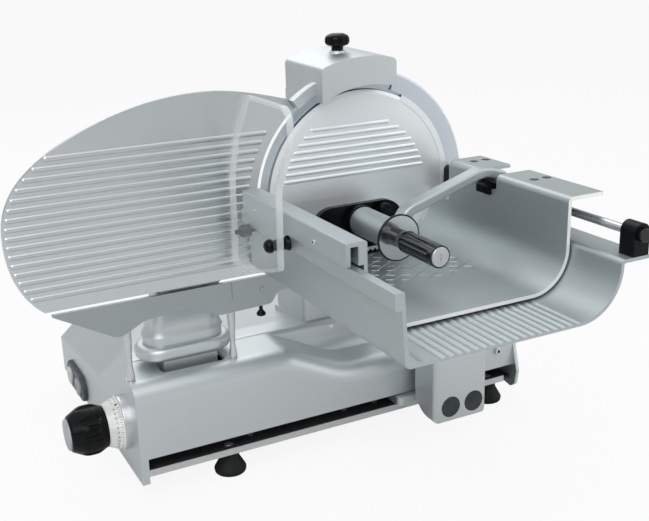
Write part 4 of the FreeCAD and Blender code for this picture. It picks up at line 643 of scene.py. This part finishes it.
class SLICER_OT_sheets(bpy.types.Operator):
    """Finish of the two trays, the clamp arm, the gauge plate and the lower guard"""
    bl_idname = "slicer.sheets"
    bl_label = "Trays and plates"

    EDGE = 0.0005       # depth of the painted highlight along the product tray's front edge

    def execute(self, context):
        finish = context.scene.slicer_finish
        tray = metal("Anodised tray", finish.sheet, ALONG_Y, 900.0, 0.47, body=0.8)
        finish_nodes(tray, "lower_tray", "top_rail", "clamp_arm")
        bed = metal("Product tray", finish.sheet, ALONG_Y, 900.0, 0.45, body=0.8)
        # painted highlight: a near-white, half-metallic band along the tray's front edge
        front = node_box("product_tray")[0].y
        finish_nodes(trimmed(bed, front + self.EDGE, False, finish.bare, 0.5, 0.3),
                     "product_tray")
        plate = metal("Anodised gauge plate", finish.plate, ALONG_X, 900.0, 0.31, relief=0.003,
                      body=1.0)
        finish_nodes(plate, "gauge_plate")
        dark = metal("Dark guard", finish.guard, ALONG_X, 700.0, 0.42)
        finish_nodes(dark, "lower_guard", "guard_cover")
        return {"FINISHED"}


class SLICER_OT_steels(bpy.types.Operator):
    """Finish of the stainless rods, plates and wheels"""
    bl_idname = "slicer.steels"
    bl_label = "Steel parts"

    FACE = 0.001            # depth of a face that keeps its own finish
    DISC_CLEAR = 0.0325     # radius of the hand guard disc inside its rim

    def execute(self, context):
        finish = context.scene.slicer_finish
        tint = finish.steel
        along = metal("Brushed steel", tint, FLAT_GRAIN, 700.0, 0.33)
        finish_nodes(along, "guide_rail", "gauge_guides", "foot_studs", "guard_posts",
                     "thickness_shaft", "dial_collar", "grip_cap")
        plate = metal("Base plate", tint, PLATE_GRAIN, 700.0, 0.38)
        # painted shade: the base plate behind its front rim is coloured near-black for the shadow
        # in the slot
        front = node_box("base_plate")[0].y
        finish_nodes(trimmed(plate, front + self.FACE, True, finish.inside, 0.6), "base_plate")
        rod = metal("Product rod", tint, ROD_GRAIN, 700.0, 0.22)
        front = node_box("rod_blocks")[0].y
        finish_nodes(trimmed(rod, front + self.FACE, False, finish.plastic, 0.3), "product_rod")
        disc = rimmed_disc("Hand guard disc", tint, finish.plastic, node_centre("grip_cap"),
                           self.DISC_CLEAR)
        finish_nodes(disc, "hand_guard_disc")
        wheels = turned_metal("Turned steel", tint, BLADE_AXIS, 900.0, 0.26)
        finish_nodes(wheels, "blade_spindle", "blade_bolts", "spindle_bearings", "blade_pulley",
                     "motor_pulley")
        return {"FINISHED"}


class SLICER_OT_blade(bpy.types.Operator):
    """Ground blade, its ribbed cover and the guard ring"""
    bl_idname = "slicer.blade"
    bl_label = "Blade and guard ring"

    def execute(self, context):
        finish = context.scene.slicer_finish
        finish_nodes(turned_metal("Ground blade", finish.blade, BLADE_AXIS, 1400.0, 0.24),
                     "blade")
        finish_nodes(turned_metal("Blade cover", finish.cover, BLADE_AXIS, 900.0, 0.37, body=0.5),
                     "blade_cover")
        finish_nodes(turned_metal("Guard ring", finish.ring, BLADE_AXIS, 700.0, 0.38),
                     "ring_guard")
        return {"FINISHED"}


class SLICER_OT_plastics(bpy.types.Operator):
    """Knobs, grip, blocks, feet, belt, stones and motor"""
    bl_idname = "slicer.plastics"
    bl_label = "Plastic and rubber"

    def execute(self, context):
        finish = context.scene.slicer_finish
        finish_nodes(moulded("Black plastic", finish.plastic, 0.2, shine=0.14),
                     "thickness_knob", "guard_knob", "sharpener_knob", "rod_blocks",
                     "guard_spacers", "rail_pads", "bushing_blocks", "clamp_bushings",
                     "gripper_plate", "gripper_rim", "tooth_strip")
        finish_nodes(moulded("Gloss black", finish.gloss, 0.05, relief=0.0, shine=0.6), "grip")
        finish_nodes(moulded("Rubber", finish.rubber, 0.5, relief=0.2, shine=0.15),
                     "rubber_feet", "drive_belt")
        finish_nodes(moulded("Plug grey", finish.plug, 0.4, shine=0.2), "stem_plugs")
        finish_nodes(moulded("Bezel", finish.bezel, 0.3, shine=0.25), "switch_bezel")
        finish_nodes(moulded("Knob cap", finish.cap, 0.4), "knob_cap")
        finish_nodes(moulded("Dial ring", finish.dial, 0.35), "dial_scale")
        finish_nodes(moulded("Start button", finish.start, 0.3), "start_button")
        finish_nodes(moulded("Stop button", finish.stop, 0.3), "stop_button")
        finish_nodes(moulded("Motor paint", finish.motor, 0.45), "motor")
        finish_nodes(moulded("Bonded stone", finish.stone, 0.85, relief=0.6),
                     "front_stone", "rear_stone")
        return {"FINISHED"}


class SLICER_OT_clear_guard(bpy.types.Operator):
    """Clear acrylic hand guard"""
    bl_idname = "slicer.clear_guard"
    bl_label = "Clear guard"

    SHEET = 0.0042      # just past the thickness of the sheet, where its rim begins
    VEIL = 0.02         # how much of the light the sheet stops, seen square on,
    EDGE = 0.9          # and seen edge on
    RIM_VEIL = 0.36     # how much more the rim stops
    SLANT = 0.05        # how late the sheet turns pale as it is seen more edge on

    def execute(self, context):
        finish = context.scene.slicer_finish
        made, tree, shader, coords = blank_material("Clear acrylic")
        mask = place_group(tree, marks_group(), coords).outputs["Mask"]
        link(tree, blend_colour(tree, mask, finish.acrylic, finish.handled),
             shader.inputs["Base Color"])
        link(tree, map_range(tree, mask, 0.03, 0.08), shader.inputs["Roughness"])
        slant = tree.nodes.new("ShaderNodeLayerWeight")
        slant.inputs["Blend"].default_value = self.SLANT
        sheet = map_range(tree, slant.outputs["Facing"], self.VEIL, self.EDGE)
        rim = past_plane(tree, coords, X, node_box("plexi_guard")[0].x + self.SHEET)
        whole = multiply_add(tree, rim, self.RIM_VEIL, sheet)
        whole.use_clamp = True
        link(tree, whole.outputs[0], shader.inputs["Alpha"])
        finish_nodes(made, "plexi_guard")
        return {"FINISHED"}


class SLICER_OT_screws(bpy.types.Operator):
    """Screws with hexagon sockets in place of the plain heads, and two on the channel's side"""
    bl_idname = "slicer.screws"
    bl_label = "Socket screws"

    # heads: radius, height, socket radius, rounding
    FLOOR_HEAD = (0.005, 0.0025, 0.0022, 0.0005)
    RIM_HEAD = (0.007, 0.0045, 0.003, 0.0014)
    FLANGE_HEAD = (0.0068, 0.0034, 0.003, 0.0008)
    REAR_HEAD = (0.005, 0.003, 0.0022, 0.001)
    LIP_HEAD = (0.0035, 0.001, 0.0016, 0.0003)

    # places in millimetres from the datum
    FLOOR_AT = tuple((x, 18.0, -388.0) for x in (-205.0, -30.0, 30.0, 225.0))
    RIM_AT = (265.0, -20.0, -330.0)
    FLANGE_AT = tuple((x, y, 41.0) for y in (-98.0, -244.0) for x in (148.0, 170.5))
    REAR_AT = tuple((x, 199.0, z) for x, z in ((-55.0, -215.0), (55.0, -215.0), (-55.0, -70.0),
                                               (55.0, -70.0), (0.0, 55.0)))
    CHANNEL_AT = ((-255.8, 15.1, 0.0042), (-69.0, 13.1, 0.0028))    # y, z and radius

    def execute(self, context):
        finish = context.scene.slicer_finish
        steel = metal("Screw steel", finish.steel, EVEN, 900.0, 0.22)
        black = moulded("Screw black", finish.plastic, 0.22, shine=0.4)

        bm = bmesh.new()
        for place in self.FLOOR_AT:
            socket_head(bm, facing(at(*place), UP), *self.FLOOR_HEAD)
        socket_head(bm, facing(at(*self.RIM_AT), FRONT), *self.RIM_HEAD)
        plate = piece_from(bm, "plate_socket_screws", "base", steel)
        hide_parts("plate_screws")

        bm = bmesh.new()
        for place in self.FLANGE_AT:
            socket_head(bm, facing(at(*place), UP), *self.FLANGE_HEAD)
        flange = piece_from(bm, "flange_socket_screws", "product_tray", black)
        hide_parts("flange_screws")

        bm = bmesh.new()
        for place in self.REAR_AT:
            socket_head(bm, facing(at(*place), REAR), *self.REAR_HEAD)
        low = node_box("cover_screws")[0]
        lip = Vector((low.x, node_box("ring_guard")[0].y, low.z))
        socket_head(bm, facing(lip, FRONT), *self.LIP_HEAD)
        cover = piece_from(bm, "cover_socket_screws", "base", steel)
        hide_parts("cover_screws")

        bm = bmesh.new()
        side = node_box("top_rail")[0].x
        for y, z, radius in self.CHANNEL_AT:
            spot = at(0.0, y, z)
            spot.x = side
            socket_head(bm, facing(spot, LEFT), radius, radius * 0.5, radius * 0.45, radius * 0.2)
        piece_from(bm, "channel_screws", "product_tray", steel)
        return {"FINISHED"}


class SLICER_OT_markings(bpy.types.Operator):
    """Graduations and numbers of the dial, its index, and the marks on the two buttons"""
    bl_idname = "slicer.markings"
    bl_label = "Dial and button marks"

    NOSE_RADIUS = 0.033     # small end of the dial's cone
    DIVISIONS = 30
    TURN = 340.0            # degrees from the first number to the last
    ZERO = 100.0            # where the first number stands
    RAISED = 0.00025        # thickness of a printed line
    LETTER = 0.00012        # and half that of a number
    TICK_AT, HALF_AT, NUMBER_AT, POINTER_AT = 0.83, 0.86, 0.55, 0.80    # places along the cone
    TICK_WIDE, HALF_WIDE, INDEX_WIDE = 0.0006, 0.0005, 0.0007
    HALF_SHARE = 0.65       # length of a half graduation by that of a whole one
    INDEX_LONG = 0.007
    POINTER = 0.0036
    BUTTON_TURN = Matrix(((0.0, 0.0, -1.0), (-1.0, 0.0, 0.0), (0.0, 1.0, 0.0))).to_4x4()

    def on_dial(self, degrees, along):
        """A place on the dial's cone: x round it, y up its slope to the collar, z outwards."""
        low, high = node_box("dial_scale")
        wide = (high.z - low.z) / 2.0
        slope = Vector((high.x - low.x, wide - self.NOSE_RADIUS)).normalized()
        turn = math.radians(degrees)
        out = Vector((0.0, math.cos(turn), math.sin(turn)))
        sweep = Vector((0.0, -math.sin(turn), math.cos(turn)))
        rise = Vector((slope.x, 0.0, 0.0)) + out * slope.y
        centre = (low + high) / 2.0
        radius = self.NOSE_RADIUS + (wide - self.NOSE_RADIUS) * along
        spot = Vector((low.x + (high.x - low.x) * along, centre.y, centre.z)) + out * radius
        turned = Matrix((sweep, rise, sweep.cross(rise))).transposed()
        return Matrix.Translation(spot) @ turned.to_4x4()

    def numeral(self, bm, text, size, place):
        curve = bpy.data.curves.new("numeral", "FONT")
        curve.body = text
        curve.size = size
        curve.align_x = "CENTER"
        curve.align_y = "CENTER"
        curve.extrude = self.LETTER
        curve.resolution_u = 2
        carrier = bpy.data.objects.new("numeral", curve)
        mesh = bpy.data.meshes.new_from_object(carrier)
        mesh.transform(place)
        bm.from_mesh(mesh)
        bpy.data.meshes.remove(mesh)
        bpy.data.objects.remove(carrier)
        bpy.data.curves.remove(curve)

    def bar(self, bm, place, wide, tall):
        shape = Matrix.Diagonal((wide, tall, self.RAISED, 1.0))
        bmesh.ops.create_cube(bm, size=1.0, matrix=place @ shape)

    def pointer(self, bm, place, size):
        part = bmesh.new()
        bmesh.ops.create_cone(part, cap_ends=True, segments=3, radius1=size, radius2=size,
                              depth=self.RAISED)
        bmesh.ops.scale(part, verts=part.verts, vec=(0.7, 1.0, 1.0))
        merge(bm, part, place)

    def execute(self, context):
        fittings = context.scene.slicer_fittings
        ink = moulded("Marking ink", context.scene.slicer_finish.ink, 0.5)
        bm = bmesh.new()
        step = self.TURN / self.DIVISIONS
        for mark in range(self.DIVISIONS + 1):
            turn = self.ZERO - mark * step
            self.bar(bm, self.on_dial(turn, self.TICK_AT), self.TICK_WIDE, fittings.tick)
            if mark < self.DIVISIONS:
                self.bar(bm, self.on_dial(turn - step / 2.0, self.HALF_AT), self.HALF_WIDE,
                         fittings.tick * self.HALF_SHARE)
            self.numeral(bm, str(mark), fittings.numeral, self.on_dial(turn, self.NUMBER_AT))
        gap = self.ZERO + (360.0 - self.TURN) / 2.0
        self.pointer(bm, self.on_dial(gap, self.POINTER_AT), self.POINTER)
        piece_from(bm, "dial_marks", "thickness_control", ink)

        bm = bmesh.new()
        low, high = node_box("dial_collar")
        turn = math.radians(self.ZERO)
        out = Vector((0.0, math.cos(turn), math.sin(turn)))
        index = (low + high) / 2.0 + out * ((high.z - low.z) / 2.0)
        self.bar(bm, facing(index, out), self.INDEX_WIDE, self.INDEX_LONG)
        piece_from(bm, "dial_index", "base", ink)

        for name, body, sign in (("start_mark", "start_button", "I"),
                                 ("stop_mark", "stop_button", "O")):
            bm = bmesh.new()
            face = node_centre(body)
            face.x = node_box(body)[0].x
            self.numeral(bm, sign, fittings.sign, Matrix.Translation(face) @ self.BUTTON_TURN)
            piece_from(bm, name, body, ink)
        return {"FINISHED"}


class SLICER_OT_tray_ridges(bpy.types.Operator):
    """Raised crossing lines on the rear half of the product tray's floor"""
    bl_idname = "slicer.tray_ridges"
    bl_label = "Tray ridges"

    FIELD = ((-152.0, -222.0, -81.0), (108.0, -80.0, -81.0))    # its corners, from the datum
    DASH = (0.22, 0.78)         # where a dash begins and ends between two lines
    SHORTEST = 0.008            # shorter pieces of a line are left out

    def execute(self, context):
        fittings = context.scene.slicer_fittings
        low, high = (at(*corner) for corner in self.FIELD)
        slant = fittings.ridge_angle
        middle = (low + high) / 2.0
        reach = (high - low).length / 2.0
        count = int(reach / fittings.ridge_pitch) + 1
        along = Vector((math.cos(slant), math.sin(slant), 0.0))
        across = Vector((math.cos(slant), -math.sin(slant), 0.0))
        cell = fittings.ridge_pitch / math.sin(2.0 * slant)
        bm = bmesh.new()
        for row in range(-count, count + 1):
            shift = row * fittings.ridge_pitch
            centre = middle + Vector((-along.y, along.x, 0.0)) * shift
            self.line(bm, centre, along, reach, low, high, fittings.ridge_radius)
            centre = middle + Vector((-across.y, across.x, 0.0)) * shift
            for place in range(-count * 2, count * 2 + 1):
                start, end = (centre + across * ((place + share) * cell) for share in self.DASH)
                if all(low.x < p.x < high.x and low.y < p.y < high.y for p in (start, end)):
                    raised_line(bm, start, end, fittings.ridge_radius)
        tray = NODES["product_tray"].data.materials[0]
        piece_from(bm, "tray_ridges", "product_tray", tray)
        return {"FINISHED"}

    def line(self, bm, centre, direction, reach, low, high, radius):
        """The part of a long line that lies inside the field."""
        first, last = -reach, reach
        for axis in (X, Y):
            near, far = sorted((edge[axis] - centre[axis]) / direction[axis]
                               for edge in (low, high))
            first, last = max(first, near), min(last, far)
        if last - first > self.SHORTEST:
            raised_line(bm, centre + direction * first, centre + direction * last, radius)


# ------------------------------------------------------------------------------- panel
PIECES = (SLICER_OT_stage, SLICER_OT_castings, SLICER_OT_sheets, SLICER_OT_steels,
          SLICER_OT_blade, SLICER_OT_plastics, SLICER_OT_clear_guard, SLICER_OT_screws,
          SLICER_OT_markings, SLICER_OT_tray_ridges)


class SLICER_PT_pieces(bpy.types.Panel):
    """The slicer's pieces and finishes, in building order"""
    bl_idname = "SLICER_PT_pieces"
    bl_label = "Slicer"
    bl_space_type = "VIEW_3D"
    bl_region_type = "UI"
    bl_category = "Slicer"

    def draw(self, context):
        for piece in PIECES:
            self.layout.operator(piece.bl_idname)
        scene = context.scene
        for group in (scene.slicer_finish, scene.slicer_fittings, scene.slicer_stage):
            for name in group.bl_rna.properties.keys():
                if name not in ("rna_type", "name"):
                    self.layout.prop(group, name)


CLASSES = (SlicerFinish, SlicerFittings, SlicerStage, *PIECES, SLICER_PT_pieces)


def register():
    for item in CLASSES:
        bpy.utils.register_class(item)
    bpy.types.Scene.slicer_finish = bpy.props.PointerProperty(type=SlicerFinish)
    bpy.types.Scene.slicer_fittings = bpy.props.PointerProperty(type=SlicerFittings)
    bpy.types.Scene.slicer_stage = bpy.props.PointerProperty(type=SlicerStage)


def unregister():
    del bpy.types.Scene.slicer_stage
    del bpy.types.Scene.slicer_fittings
    del bpy.types.Scene.slicer_finish
    for item in reversed(CLASSES):
        bpy.utils.unregister_class(item)


def main():
    register()
    for piece in PIECES:
        group, name = piece.bl_idname.split(".")
        getattr(getattr(bpy.ops, group), name)()


if __name__ == "__main__":
    main()
